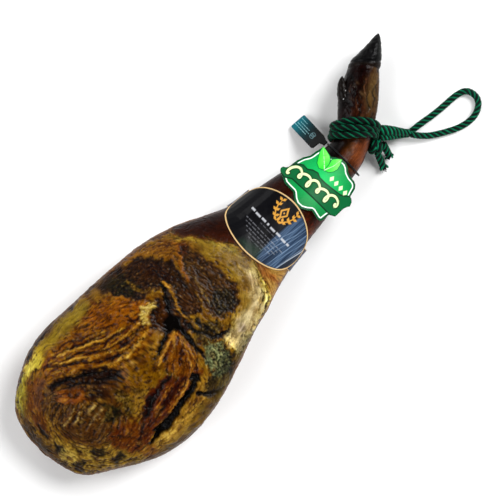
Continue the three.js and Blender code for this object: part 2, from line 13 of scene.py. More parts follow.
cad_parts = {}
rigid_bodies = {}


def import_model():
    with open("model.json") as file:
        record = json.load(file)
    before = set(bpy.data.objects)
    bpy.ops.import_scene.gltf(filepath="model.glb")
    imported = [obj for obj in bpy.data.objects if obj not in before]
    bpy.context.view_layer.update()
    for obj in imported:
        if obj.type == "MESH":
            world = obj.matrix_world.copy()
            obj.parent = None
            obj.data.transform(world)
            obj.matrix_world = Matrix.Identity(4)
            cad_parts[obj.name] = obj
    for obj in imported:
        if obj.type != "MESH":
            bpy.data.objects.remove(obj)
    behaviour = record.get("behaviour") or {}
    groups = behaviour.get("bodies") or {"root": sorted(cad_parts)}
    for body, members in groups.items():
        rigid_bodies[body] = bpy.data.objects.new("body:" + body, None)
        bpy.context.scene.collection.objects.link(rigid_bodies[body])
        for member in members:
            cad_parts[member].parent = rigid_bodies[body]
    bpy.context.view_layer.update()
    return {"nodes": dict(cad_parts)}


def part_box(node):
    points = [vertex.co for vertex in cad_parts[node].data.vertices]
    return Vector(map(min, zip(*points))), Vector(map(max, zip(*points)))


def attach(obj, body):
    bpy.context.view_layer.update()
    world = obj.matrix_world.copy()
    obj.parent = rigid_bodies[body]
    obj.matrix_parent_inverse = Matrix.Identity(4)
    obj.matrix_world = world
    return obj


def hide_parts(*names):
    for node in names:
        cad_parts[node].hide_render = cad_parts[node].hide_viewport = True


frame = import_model()
MM = 0.001

# ---------------------------------------------------------------- camera
TURN = math.radians(47.0)          # the plan's up direction, from +Y towards +X
PLAN_MM = 1.25                     # one plan unit
VIEW_C = (27.1, -7.4, 55.0)        # what the camera looks straight down on
cam_data = bpy.data.cameras.new("camera")
cam_data.sensor_width = 36.0
cam_data.lens = 180.0
cam_data.clip_end = 20.0
cam = bpy.data.objects.new("camera", cam_data)
bpy.context.scene.collection.objects.link(cam)
cam.location = (VIEW_C[0] * MM, VIEW_C[1] * MM, VIEW_C[2] * MM + 3.125)
cam.rotation_euler = (0.0, 0.0, -TURN)
bpy.context.scene.camera = cam


def to_plan(x, y):
    """Plan coordinates of a point of the row frame, both from their arrays."""
    dx, dy = x - 42.55, y - 434.25
    return (0.8525 * dx - 0.91419 * dy) / 1.5625, (-0.91419 * dx - 0.8525 * dy) / 1.5625


# ---------------------------------------------------------------- small mesh kit
def make_mesh(name, verts, faces, smooth=True):
    """Object from points in millimetres and quads or triangles, or both as a list."""
    verts = np.asarray(verts, dtype=np.float32)
    me = bpy.data.meshes.new(name)
    if isinstance(faces, np.ndarray) and faces.ndim == 2:
        faces = [faces]
    me.vertices.add(len(verts))
    me.vertices.foreach_set("co", (verts * MM).ravel())
    loops = np.concatenate([np.asarray(f, dtype=np.int32).ravel() for f in faces if len(f)])
    sizes = np.concatenate([np.full(len(f), np.asarray(f).shape[1], dtype=np.int32) for f in faces if len(f)])
    me.loops.add(len(loops))
    me.loops.foreach_set("vertex_index", loops)
    me.polygons.add(len(sizes))
    me.polygons.foreach_set("loop_start", np.concatenate([[0], np.cumsum(sizes)[:-1]]).astype(np.int32))
    me.polygons.foreach_set("loop_total", sizes)
    me.update(calc_edges=True)
    me.validate()
    if smooth:
        me.polygons.foreach_set("use_smooth", np.ones(len(me.polygons), dtype=bool))
    ob = bpy.data.objects.new(name, me)
    bpy.context.scene.collection.objects.link(ob)
    return ob


def put_colour(ob, name, rgb):
    """Point colours, given as display values 0-255."""
    c = np.clip(np.asarray(rgb, dtype=np.float32) / 255.0, 0, 1)
    lin = np.where(c <= 0.04045, c / 12.92, ((c + 0.055) / 1.055) ** 2.4)
    a = ob.data.color_attributes.new(name, "FLOAT_COLOR", "POINT")
    out = np.ones((len(c), 4), dtype=np.float32)
    out[:, :3] = lin
    a.data.foreach_set("color", out.ravel())


def put_value(ob, name, v):
    a = ob.data.attributes.new(name, "FLOAT", "POINT")
    a.data.foreach_set("value", np.asarray(v, dtype=np.float32))


def outward(ob):
    """Turns a closed mesh the right way round."""
    bm = bmesh.new()
    bm.from_mesh(ob.data)
    bmesh.ops.recalc_face_normals(bm, faces=bm.faces)
    bm.to_mesh(ob.data)
    bm.free()
    n = np.zeros(len(ob.data.vertices) * 3)
    return ob


def grid_faces(rows, cols, wrap_cols=True, wrap_rows=False, start=0):
    r = np.arange(rows if wrap_rows else rows - 1)
    c = np.arange(cols if wrap_cols else cols - 1)
    rr, cc = np.meshgrid(r, c, indexing="ij")
    r2, c2 = (rr + 1) % rows, (cc + 1) % cols
    return np.stack([rr * cols + cc, rr * cols + c2, r2 * cols + c2, r2 * cols + cc], axis=-1).reshape(-1, 4) + start


def fan(centre, ring, flip=False):
    ring = np.asarray(ring)
    nxt = np.roll(ring, -1)
    a = np.full(len(ring), centre)
    return np.stack([a, nxt, ring] if flip else [a, ring, nxt], axis=-1)


# ---------------------------------------------------------------- nodes kit
def new_mat(name, **consts):
    mat = bpy.data.materials.new(name)
    mat.use_nodes = True
    nt = mat.node_tree
    bsdf = nt.nodes["Principled BSDF"]
    for k, v in consts.items():
        bsdf.inputs[k.replace("_", " ")].default_value = v
    return mat, nt, bsdf


def node(nt, kind, **kw):
    n = nt.nodes.new(kind)
    for k, v in kw.items():
        if k.startswith("in_"):
            key = k[3:].replace("_", " ")
            n.inputs[int(key) if key.isdigit() else key].default_value = v
        else:
            setattr(n, k, v)
    return n


def attr(nt, name):
    return node(nt, "ShaderNodeAttribute", attribute_name=name)


def noise(nt, vec, scale, detail=3.0, rough=0.55, **kw):
    n = node(nt, "ShaderNodeTexNoise", in_Scale=scale, in_Detail=detail, in_Roughness=rough, **kw)
    nt.links.new(vec, n.inputs["Vector"])
    return n


def ramp(nt, fac, stops):
    n = node(nt, "ShaderNodeValToRGB")
    while len(n.color_ramp.elements) < len(stops):
        n.color_ramp.elements.new(0.5)
    for e, (p, c) in zip(n.color_ramp.elements, stops):
        e.position = p
        e.color = (c, c, c, 1) if np.isscalar(c) else (*c, 1)
    nt.links.new(fac, n.inputs[0])
    return n


def mixc(nt, a, b, fac, mode="MULTIPLY"):
    n = node(nt, "ShaderNodeMix", data_type="RGBA", blend_type=mode)
    if np.isscalar(fac):
        n.inputs[0].default_value = fac
    else:
        nt.links.new(fac, n.inputs[0])
    nt.links.new(a, n.inputs[6])
    nt.links.new(b, n.inputs[7])
    return n.outputs[2]


def math_(nt, op, a, b=None):
    n = node(nt, "ShaderNodeMath", operation=op)
    for i, v in enumerate([a, b]):
        if v is None:
            continue
        if np.isscalar(v):
            n.inputs[i].default_value = v
        else:
            nt.links.new(v, n.inputs[i])
    return n.outputs[0]


def bump(nt, bsdf, heights):
    """Chain of bumps, each (height output, strength, distance)."""
    prev = None
    for h, strength, dist in heights:
        b = node(nt, "ShaderNodeBump", in_Strength=strength, in_Distance=dist)
        nt.links.new(h, b.inputs["Height"])
        if prev is not None:
            nt.links.new(prev, b.inputs["Normal"])
        prev = b.outputs["Normal"]
    nt.links.new(prev, bsdf.inputs["Normal"])
    if "Coat Normal" in bsdf.inputs:
        nt.links.new(prev, bsdf.inputs["Coat Normal"])

# ---------------------------------------------------------------- rope
LOOP_PATH = [[273.9, -55.0], [280.5, -54.8], [288.5, -56.0], [299.2, -58.0], [309.7, -60.1], [322.4, -62.0], [333.8, -63.2], [343.9, -64.1], [353.0, -65.9], [359.4, -68.5], [363.6, -73.1], [365.5, -79.9], [364.7, -87.1], [360.7, -92.9], [353.7, -97.4], [345.5, -99.6], [336.3, -99.4], [326.8, -97.1], [316.7, -92.9], [306.5, -87.0], [296.7, -80.8], [287.5, -74.0], [279.8, -65.8], [275.4, -59.6], [273.2, -55.7]]
LOOP_RISE = {18: 4.5, 19: 4.8, 20: 5.8, 21: 7.6, 22: 9.9, 23: 11.9, 24: 12.9}
LOOP_Z = 4.4
NECK_PATH = [[246.4, -26.0], [250.8, -31.3], [255.7, -37.0], [260.6, -42.6], [265.7, -48.1], [270.3, -52.4], [273.1, -54.9]]
NECK_Z = [27, 25.2, 21.8, 17.8, 13.9, 10.6, 9.3]
NECK_W = [9.4, 10, 9.8, 9.0, 7.6, 5.6, 4.4]
NECK_H = [9.4, 9.6, 9.2, 8.8, 8.4, 8.4, 8.4]
KNOT_C = np.array([230.4, -32.6, 21.0])
TAIL_A = [[227.6, -40.1, 19], [225.2, -45.7, 13.5], [222.6, -52.1, 8.8], [220.5, -57.2, 5.8], [218.7, -61.3, 4.9]]
TAIL_B = [[240.2, -38.7, 22], [238.7, -43.6, 17], [237.2, -48.5, 12], [235.9, -52.7, 8.2], [234.7, -56.4, 5.8]]
ROPE_D = 8.3


def spline(pts, step):
    """Centripetal-like smooth curve through points, at an even step in millimetres."""
    p = np.asarray(pts, dtype=float)
    q = np.vstack([2 * p[0] - p[1], p, 2 * p[-1] - p[-2]])
    out = []
    for i in range(1, len(q) - 2):
        t = np.linspace(0, 1, 24, endpoint=False)[:, None]
        a, b, c, d = q[i - 1], q[i], q[i + 1], q[i + 2]
        out.append(0.5 * (2 * b + (c - a) * t + (2 * a - 5 * b + 4 * c - d) * t * t + (3 * b - a - 3 * c + d) * t ** 3))
    out.append(p[-1:])
    c = np.vstack(out)
    s = np.concatenate([[0], np.cumsum(np.linalg.norm(np.diff(c, axis=0), axis=1))])
    n = max(2, int(round(s[-1] / step)) + 1)
    u = np.linspace(0, s[-1], n)
    return np.stack([np.interp(u, s, c[:, k]) for k in range(3)], axis=1), u


def frames(c, first=None):
    """Tangents and two normals that turn as little as possible along a curve."""
    t = np.gradient(c, axis=0)
    t /= np.linalg.norm(t, axis=1)[:, None]
    n = np.zeros_like(t)
    v = np.array(first if first is not None else (0, 0, 1.0))
    v = v - t[0] * v.dot(t[0])
    if np.linalg.norm(v) < 1e-3:
        v = np.cross(t[0], (1, 0, 0))
    n[0] = v / np.linalg.norm(v)
    for i in range(1, len(t)):
        v = n[i - 1] - t[i] * n[i - 1].dot(t[i])
        n[i] = v / np.linalg.norm(v)
    return t, n, np.cross(t, n)


def tube(c, radius, sides, twist=0.0, caps=True, start=0):
    """Points, quads, cap triangles and (length, turn) of a tube round a curve."""
    t, n, b = frames(c)
    s = np.concatenate([[0], np.cumsum(np.linalg.norm(np.diff(c, axis=0), axis=1))])
    r = np.broadcast_to(np.asarray(radius, dtype=float), (len(c),))
    a = np.arange(sides) / sides * 2 * math.pi
    ang = a[None, :] + twist * s[:, None]
    p = c[:, None, :] + r[:, None, None] * (np.cos(ang)[..., None] * n[:, None, :] + np.sin(ang)[..., None] * b[:, None, :])
    pts = p.reshape(-1, 3)
    quads = grid_faces(len(c), sides, True, False, start)
    along = np.repeat(s, sides)
    round_ = np.tile(a / (2 * math.pi), len(c))
    tris = np.zeros((0, 3), dtype=int)
    if caps:
        e0, e1 = start + len(pts), start + len(pts) + 1
        pts = np.vstack([pts, c[0] - t[0] * r[0] * 0.35, c[-1] + t[-1] * r[-1] * 0.35])
        along, round_ = np.append(along, [0, s[-1]]), np.append(round_, [0, 0])
        tris = np.vstack([fan(e0, start + np.arange(sides), True), fan(e1, start + (len(c) - 1) * sides + np.arange(sides))])
    return pts, quads, tris, along, round_


STRANDS = [(0, 0.555, 0.44, 0), (120, 0.555, 0.44, 0), (240, 0.555, 0.44, 0), (58, 0.725, 0.268, 1), (178, 0.725, 0.268, 1), (298, 0.725, 0.268, 1)]


class Rope:
    """One mesh of twisted strands; strands are added along curves."""

    def __init__(self):
        self.v, self.q, self.t, self.a, self.r, self.c, self.e = [], [], [], [], [], [], []
        self.n = 0

    def strand(self, c, radius, kind, sides=8, caps=True, axis=None, outer=None):
        p, q, t, a, r = tube(c, radius, sides, 0.0, caps, self.n)
        self.v.append(p); self.q.append(q); self.t.append(t)
        self.a.append(a); self.r.append(r); self.c.append(np.full(len(p), float(kind)))
        # painted light and shade by how far each point stands out of the lay: grooves are painted dark, crests painted
        # bright
        e = np.full(len(p), 0.6)
        if axis is not None:
            k = len(c) * sides
            d = np.linalg.norm(p[:k].reshape(len(c), sides, 3) - axis[:, None, :], axis=2) / outer[:, None]
            e[:k] = np.clip((d - 0.52) / 0.46, 0, 1).ravel()
        self.e.append(e)
        self.n += len(p)

    def lay(self, curve, R, pitch=26.0, phase=0.0, step=0.8, loose=None, fray=0.0, squash=None, first=None, seed=1):
        """Lays the strands along a curve. R is the outer radius, or one for each end point."""
        c, u = spline(curve, step)
        t, n, b = frames(c, first)
        rad = np.interp(np.linspace(0, 1, len(c)), np.linspace(0, 1, len(R)), R) if not np.isscalar(R) else np.full(len(c), float(R))
        for k, (deg, off, size, kind) in enumerate(STRANDS):
            w = math.radians(deg) + phase + 2 * math.pi * u / pitch
            wob = 1 + 0.03 * np.sin(u * 0.9 + k * 2.1 + seed)
            o = rad * off * wob
            if fray:
                k2 = np.clip((u - (u[-1] - fray)) / fray, 0, 1) ** 1.5
                o = o * (1 + 0.75 * k2)
            x, y = np.cos(w) * o, np.sin(w) * o
            if squash is not None:
                x, y = x * squash[0], y * squash[1]
            line_ = c + x[:, None] * n + y[:, None] * b
            rr = rad * size * (1 + 0.04 * np.sin(u * 1.7 + k))
            line_[:, 2] = np.maximum(line_[:, 2], rr + 0.05)
            self.strand(line_, rr, kind, 10 if kind else 8, True, c, rad)
        return c

    def build(self, name, shade=1.0):
        ob = make_mesh(name, np.vstack(self.v), [np.vstack(self.q), np.vstack(self.t)])
        put_value(ob, "along", np.concatenate(self.a))
        put_value(ob, "round", np.concatenate(self.r))
        put_value(ob, "green", np.concatenate(self.c))
        put_value(ob, "crest_light", np.concatenate(self.e) * shade)
        outward(ob)
        ob.data.materials.append(ROPE_MAT)
        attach(ob, "root")
        return ob


def rope_material():
    mat, nt, bsdf = new_mat("twisted_cord", Roughness=0.5, Specular_IOR_Level=0.07, Sheen_Weight=0.0, Sheen_Roughness=0.4)
    pos = node(nt, "ShaderNodeTexCoord").outputs["Object"]
    along, round_, green = attr(nt, "along").outputs["Fac"], attr(nt, "round").outputs["Fac"], attr(nt, "green").outputs["Fac"]
    # yarns of the strand: fine slanting ridges
    ph = math_(nt, "ADD", math_(nt, "MULTIPLY", along, 2.1), math_(nt, "MULTIPLY", round_, 5 * 6.28318))
    yarn = math_(nt, "ABSOLUTE", math_(nt, "SINE", ph))
    fuzz = noise(nt, pos, 1400.0, 3.0, 0.6)
    big = noise(nt, pos, 120.0, 2.0, 0.5)
    base = mixc(nt, ramp(nt, green, [(0, (0.0012, 0.0030, 0.0026)), (1, (0.001, 0.092, 0.042))]).outputs[0],
                ramp(nt, yarn, [(0.0, 0.35), (0.35, 0.85), (1.0, 1.25)]).outputs[0], 1.0)
    # painted shade darkens the grooves and a painted highlight brightens the crests of each strand
    base = mixc(nt, base, ramp(nt, attr(nt, "crest_light").outputs["Fac"], [(0.0, 0.02), (0.55, 0.09), (0.8, 0.7), (1.0, 1.7)]).outputs[0], 1.0)
    base = mixc(nt, base, ramp(nt, big.outputs["Fac"], [(0.3, 0.6), (0.7, 1.35)]).outputs[0], 0.8)
    base = mixc(nt, base, ramp(nt, fuzz.outputs["Fac"], [(0.3, 0.7), (0.72, 1.3)]).outputs[0], 0.7)
    nt.links.new(base, bsdf.inputs["Base Color"])
    bump(nt, bsdf, [(yarn, 0.55, 0.0004), (fuzz.outputs["Fac"], 0.35, 0.00025)])
    return mat


ROPE_MAT = rope_material()

loop_pts = [(p[0], p[1], LOOP_RISE.get(i, LOOP_Z)) for i, p in enumerate(LOOP_PATH)]
rope = Rope()
rope.lay(loop_pts, ROPE_D / 2 * 1.03, 23.0, 0.4)
loop = rope.build("rope_loop_twisted")
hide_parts("rope_loop")

# neck: the doubled rope twisted hard on itself, in two bundles side by side
rope = Rope()
neck3 = np.array([(x, y, z) for (x, y), z in zip(NECK_PATH, NECK_Z)], dtype=float)
nc, nu = spline(neck3, 1.0)
nt_, nn, nb = frames(nc)
side = np.stack([-nt_[:, 1], nt_[:, 0], np.zeros(len(nt_))], axis=1)
side /= np.linalg.norm(side, axis=1)[:, None]
f = nu / nu[-1]
wid = np.interp(f, np.linspace(0, 1, 7), NECK_W)
hei = np.interp(f, np.linspace(0, 1, 7), NECK_H)
up_ = np.cross(side, nt_) * -1
up_[up_[:, 2] < 0] *= -1
fat = nc + side * (wid * 0.36)[:, None] + up_ * (hei * 0.10 * (1 - f) + hei * 0.48 * f)[:, None]
thin = nc - side * (wid * 0.56 * (1 - f) + wid * 0.10 * f)[:, None] + up_ * (hei * 0.02 * (1 - f) - hei * 0.44 * f)[:, None]
rope.lay(fat[::3], [6.9, 7.1, 6.6, 6.0, 5.3, 4.6, 4.2], 16.5, 0.3, 0.7)
rope.lay(thin[::3], [5.0, 5.0, 4.8, 4.5, 4.2, 4.1, 4.1], 15.0, 1.9, 0.7)
neck = rope.build("rope_neck_twisted")
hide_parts("rope_neck")

# tails: two cut ends, one of them opened out
rope = Rope()
rope.lay(TAIL_A, [4.5, 4.7, 4.7, 4.7, 4.5], 23.0, 0.9, 0.7, fray=5.5)
rng = np.random.default_rng(11)
ta = np.array(TAIL_A, dtype=float)
da = ta[-1] - ta[-2]
da /= np.linalg.norm(da)
for k in range(46):
    o = rng.normal(0, 1.5, 3) * (1, 1, 0.6)
    ln = rng.uniform(1.2, 3.2)
    g = rng.normal(0, 0.45, 3) * (1, 1, 0.5)
    p0 = ta[-1] - da * 1.2 + o
    p0[2] = max(p0[2], 1.2)
    pts = np.array([p0, p0 + (da + g * 0.4) * ln * 0.5, p0 + (da + g) * ln * 0.9])
    pts[:, 2] = np.maximum(pts[:, 2], 0.9)
    c, _ = spline(pts, 0.7)
    rope.strand(c, 0.26, int(rng.random() < 0.55), 5)
tail_a = rope.build("rope_tail_a_twisted")
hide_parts("rope_tail_a")
rope = Rope()
rope.lay(TAIL_B, [4.5, 4.8, 4.9, 4.8, 4.6], 23.0, 2.4, 0.7, fray=3.0)
tail_b = rope.build("rope_tail_b_twisted")
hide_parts("rope_tail_b")

# knot: two turns drawn tight over each other
rope = Rope()
ax = nt_[0] / np.linalg.norm(nt_[0])
sd = np.cross(ax, (0, 0, 1.0)); sd /= np.linalg.norm(sd)
uu = np.cross(sd, ax)
for tilt, rr, lift, ph in [(0.0, 7.6, -2.8, 0.0), (0.55, 8.0, 2.6, 1.1), (-0.6, 7.2, 0.2, 2.0), (0.15, 6.6, 5.0, 2.7)]:
    w = np.linspace(0, 2 * math.pi * 1.02, 26)
    e1 = sd * math.cos(tilt) + ax * math.sin(tilt)
    pts = KNOT_C + ax * lift + rr * 0.92 * np.cos(w)[:, None] * e1 + rr * 1.12 * np.sin(w)[:, None] * uu
    rope.lay(pts, 4.1, 24.0, ph, 0.8)
knot = rope.build("rope_knot_twisted")
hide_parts("rope_knot")

# ---------------------------------------------------------------- plan of the upper face
# Colour and relief of everything that faces up are painted on a plan grid. One plan
# unit is 1.25 mm; u runs along the plan's width and v down it (see to_plan).
PR = 2.8
PU0, PV0, PU1, PV1 = 6.0, 18.0, 394.0, 486.0
PW, PH = int((PU1 - PU0) * PR), int((PV1 - PV0) * PR)
UU, VV = np.meshgrid(PU0 + (np.arange(PW, dtype=np.float32) + 0.5) / PR, PV0 + (np.arange(PH, dtype=np.float32) + 0.5) / PR)


def hash2(ix, iy, seed):
    h = (ix.astype(np.int64).astype(np.uint32) * np.uint32(374761393)) ^ (iy.astype(np.int64).astype(np.uint32) * np.uint32(668265263))
    h = h ^ np.uint32((seed * 2246822519 + 97) & 0xFFFFFFFF)
    h = (h ^ (h >> np.uint32(13))) * np.uint32(1274126177)
    h = (h ^ (h >> np.uint32(15))) * np.uint32(2246822519)
    return h ^ (h >> np.uint32(16))


def gnoise(x, y, seed=0):
    x = np.asarray(x, dtype=np.float32)
    y = np.asarray(y, dtype=np.float32)
    x0, y0 = np.floor(x), np.floor(y)
    fx, fy = x - x0, y - y0
    ux, uy = fx * fx * fx * (fx * (fx * 6 - 15) + 10), fy * fy * fy * (fy * (fy * 6 - 15) + 10)

    def g(dx, dy):
        a = hash2(x0 + dx, y0 + dy, seed).astype(np.float32) * np.float32(6.2831853 / 4294967296.0)
        return np.cos(a) * (fx - dx) + np.sin(a) * (fy - dy)

    lo = g(0, 0) * (1 - ux) + g(1, 0) * ux
    hi = g(0, 1) * (1 - ux) + g(1, 1) * ux
    return (lo * (1 - uy) + hi * uy) * 1.5


def fbm(x, y, scale, octaves=3, seed=0, gain=0.55):
    out, amp, tot, f = 0, 1.0, 0.0, 1.0 / scale
    for k in range(octaves):
        out = out + amp * gnoise(x * f + 11.3 * k, y * f - 7.1 * k, seed + 31 * k)
        tot += amp
        amp *= gain
        f *= 2.03
    return out / tot


def sstep(a, b, x):
    t = np.clip((x - a) / (b - a), 0, 1)
    return t * t * (3 - 2 * t)


WARP_A = fbm(UU, VV, 13.0, 4, 5)
WARP_B = fbm(UU, VV, 5.0, 3, 9)
SHIFT_X = 5.5 * fbm(UU, VV, 19.0, 4, 105, 0.6)
SHIFT_Y = 5.5 * fbm(UU, VV, 19.0, 4, 109, 0.6)
GRAIN_EDGE = np.zeros(UU.shape, dtype=np.float32)


def window(pts, pad):
    p = np.array(pts)
    i0 = int(np.clip((p[:, 1].min() - pad - PV0) * PR, 0, PH - 1))
    i1 = int(np.clip((p[:, 1].max() + pad - PV0) * PR + 1, 1, PH))
    j0 = int(np.clip((p[:, 0].min() - pad - PU0) * PR, 0, PW - 1))
    j1 = int(np.clip((p[:, 0].max() + pad - PU0) * PR + 1, 1, PW))
    return slice(i0, i1), slice(j0, j1)


def area(pts, soft=2.0, rough=2.0):
    """Mask of a closed outline with a ragged edge: 1 inside."""
    w = window(pts, soft + rough * 2.5 + 5)
    k_ = min(1.0, rough / 2.2)
    x, y = UU[w] + SHIFT_X[w] * k_, VV[w] + SHIFT_Y[w] * k_
    d = np.full(x.shape, 1e9, dtype=np.float32)
    inside = np.zeros(x.shape, dtype=bool)
    n = len(pts)
    for k in range(n):
        (x0, y0), (x1, y1) = pts[k], pts[(k + 1) % n]
        ex, ey = x1 - x0, y1 - y0
        t = np.clip(((x - x0) * ex + (y - y0) * ey) / max(ex * ex + ey * ey, 1e-9), 0, 1)
        d = np.minimum(d, np.hypot(x - x0 - t * ex, y - y0 - t * ey))
        if y0 != y1:
            inside ^= ((y0 > y) != (y1 > y)) & (x < ex * (y - y0) / (y1 - y0) + x0)
    s = np.where(inside, d, -d) + rough * (WARP_A[w] * 1.3 + WARP_B[w] * 1.1 + GRAIN_EDGE[w] * 0.9)
    m = np.zeros(UU.shape, dtype=np.float32)
    m[w] = sstep(-soft, soft, s)
    return m


def line(pts, width, soft=1.0, rough=0.6):
    """Mask of a tapering stroke; width is one number or one for each point."""
    ws = [width] * len(pts) if np.isscalar(width) else list(width)
    w = window(pts, max(ws) + soft + rough * 3 + 4)
    k_ = min(1.0, rough / 2.2)
    x, y = UU[w] + rough * 2.2 * WARP_B[w] + SHIFT_X[w] * k_, VV[w] + rough * 2.2 * WARP_A[w] + SHIFT_Y[w] * k_
    s = np.full(x.shape, -1e9, dtype=np.float32)
    for k in range(len(pts) - 1):
        (x0, y0), (x1, y1) = pts[k], pts[k + 1]
        ex, ey = x1 - x0, y1 - y0
        t = np.clip(((x - x0) * ex + (y - y0) * ey) / max(ex * ex + ey * ey, 1e-9), 0, 1)
        d = (ws[k] + (ws[k + 1] - ws[k]) * t) * 0.5 - np.hypot(x - x0 - t * ex, y - y0 - t * ey)
        s = np.maximum(s, d)
    s = s + rough * 0.7 * GRAIN_EDGE[w]
    m = np.zeros(UU.shape, dtype=np.float32)
    m[w] = sstep(-soft, soft, s)
    return m


# Grain: which way the fibres run, as short strokes on the plan.
GRAIN = [
    ((150, 322), (120, 340)), ((120, 340), (90, 352)), ((90, 352), (52, 364)), ((148, 332), (118, 352)), ((140, 342), (106, 362)),
    ((120, 318), (80, 338)), ((88, 330), (48, 346)), ((100, 304), (60, 334)), ((146, 312), (112, 318)), ((140, 302), (98, 312)),
    ((110, 290), (128, 276)), ((128, 276), (150, 264)), ((120, 286), (142, 290)), ((160, 272), (176, 284)), ((176, 284), (196, 308)),
    ((186, 250), (200, 264)), ((200, 266), (220, 282)), ((212, 288), (232, 300)), ((196, 282), (212, 304)), ((225, 285), (236, 300)),
    ((186, 240), (214, 252)), ((214, 250), (246, 262)), ((205, 262), (232, 272)), ((200, 243), (240, 256)),
    ((254, 266), (262, 292)), ((262, 292), (252, 322)), ((250, 284), (242, 316)), ((244, 318), (232, 346)), ((268, 300), (258, 326)), ((256, 326), (244, 352)),
    ((171, 326), (157, 352)), ((157, 352), (150, 372)), ((182, 332), (202, 356)), ((202, 356), (212, 376)), ((176, 336), (172, 362)), ((166, 348), (158, 368)),
    ((184, 350), (190, 372)), ((162, 362), (134, 376)), ((134, 360), (112, 372)), ((150, 378), (120, 386)),
    ((52, 382), (78, 372)), ((78, 372), (108, 367)), ((108, 367), (132, 362)), ((52, 394), (84, 388)), ((84, 390), (112, 392)),
    ((106, 402), (92, 424)), ((92, 402), (78, 420)), ((120, 398), (110, 420)), ((70, 404), (62, 422)), ((128, 410), (118, 436)),
    ((184, 378), (168, 402)), ((168, 402), (152, 428)), ((174, 384), (150, 412)), ((196, 384), (176, 412)), ((199, 375), (176, 410)), ((176, 410), (151, 440)),
    ((222, 390), (200, 416)), ((200, 414), (172, 436)), ((228, 368), (216, 392)), ((216, 344), (224, 368)), ((210, 350), (222, 374)),
    ((148, 430), (132, 450)), ((128, 436), (112, 452)), ((60, 440), (84, 456)), ((84, 456), (110, 462)), ((40, 420), (56, 442)), ((56, 432), (80, 446)),
    ((24, 372), (18, 398)), ((18, 398), (24, 424)), ((24, 424), (46, 450)), ((46, 450), (78, 472)), ((34, 352), (24, 372)), ((36, 376), (32, 404)),
    ((44, 336), (66, 314)), ((66, 314), (92, 290)), ((92, 290), (124, 262)), ((124, 262), (162, 238)), ((162, 244), (186, 244)),
    ((180, 452), (140, 462)), ((214, 402), (190, 432)), ((176, 224), (210, 222)), ((200, 232), (238, 240)), ((246, 250), (272, 280)), ((276, 262), (288, 262)),
    ((232, 206), (252, 186)), ((262, 186), (296, 168)), ((300, 200), (318, 172)), ((318, 190), (336, 160)), ((330, 170), (350, 140)), ((336, 150), (352, 128)),
    ((340, 128), (346, 96)), ((356, 128), (362, 92)), ((370, 120), (372, 84)), ((350, 96), (354, 76)), ((362, 76), (372, 50)), ((376, 70), (378, 44)),
]


def grain_field():
    step = 6
    x, y = UU[::step, ::step], VV[::step, ::step]
    cx = np.zeros(x.shape)
    cy = np.zeros(x.shape)
    for (x0, y0), (x1, y1) in GRAIN:
        a = 2 * math.atan2(y1 - y0, x1 - x0)
        mx, my = (x0 + x1) / 2, (y0 + y1) / 2
        r2 = (x - mx) ** 2 + (y - my) ** 2
        w = 1 / (r2 + 30.0) ** 1.7
        cx += w * math.cos(a)
        cy += w * math.sin(a)
    a = 0.5 * np.arctan2(cy, cx)
    # back to the full grid, through the doubled angle so that it stays smooth
    c2, s2 = np.cos(2 * a), np.sin(2 * a)
    yi = np.clip(np.arange(PH) / step, 0, x.shape[0] - 1.001)
    xi = np.clip(np.arange(PW) / step, 0, x.shape[1] - 1.001)
    y0, x0 = yi.astype(int), xi.astype(int)
    fy, fx = (yi - y0)[:, None], (xi - x0)[None, :]

    def up(f):
        return (f[y0][:, x0] * (1 - fy) * (1 - fx) + f[y0 + 1][:, x0] * fy * (1 - fx)
                + f[y0][:, x0 + 1] * (1 - fy) * fx + f[y0 + 1][:, x0 + 1] * fy * fx)

    ang = 0.5 * np.arctan2(up(s2), up(c2)) + 1.1 * WARP_A + 0.7 * WARP_B
    return np.cos(ang).astype(np.float32), np.sin(ang).astype(np.float32)


def streaks(dx, dy, source, steps):
    """Smears a noise picture along the grain."""
    total = source.copy()
    for sign in (1.0, -1.0):
        px, py = np.meshgrid(np.arange(PW, dtype=np.float32), np.arange(PH, dtype=np.float32))
        lx, ly = dx * sign, dy * sign
        for _ in range(steps):
            px += lx
            py += ly
            j = np.clip(px, 0, PW - 1).astype(np.int32)
            i = np.clip(py, 0, PH - 1).astype(np.int32)
            total += source[i, j]
            nx, ny = dx[i, j], dy[i, j]
            flip = np.where(nx * lx + ny * ly < 0, -1.0, 1.0).astype(np.float32)
            lx, ly = nx * flip, ny * flip
    total -= total.mean()
    return total / (total.std() * 2.6)        # about -1..1


GX, GY = grain_field()
FINE = streaks(GX, GY, gnoise(UU * 1.05, VV * 1.05, 3) + 0.6 * gnoise(UU * 0.55, VV * 0.55, 4), 8)
BROAD = streaks(GX, GY, gnoise(UU * 0.28, VV * 0.28, 13) + 0.6 * gnoise(UU * 0.5, VV * 0.5, 14), 18)
CREASE = streaks(GX, GY, gnoise(UU * 0.2, VV * 0.2, 17) + 0.7 * gnoise(UU * 0.42, VV * 0.42, 18) + 0.3 * gnoise(UU * 0.9, VV * 0.9, 19), 12)
CLOUD = fbm(UU, VV, 26.0, 3, 21)
MOTTLE = fbm(UU, VV, 8.5, 5, 22, 0.62)
GRIT = fbm(UU, VV, 2.4, 2, 23)
LUMP = fbm(UU, VV, 12.0, 4, 25, 0.6)
GRAIN_EDGE[:] = 0.6 * FINE + 0.6 * BROAD

COL = np.zeros(UU.shape + (3,), dtype=np.float32)      # colour, display values 0-255
RELIEF = np.zeros(UU.shape, dtype=np.float32)          # mm, out of the surface
WET = np.full(UU.shape, 0.36, dtype=np.float32)        # roughness


def shade(low, high, t):
    t = np.clip(t, 0, 1)[..., None]
    return np.array(low, dtype=np.float32) * (1 - t) + np.array(high, dtype=np.float32) * t


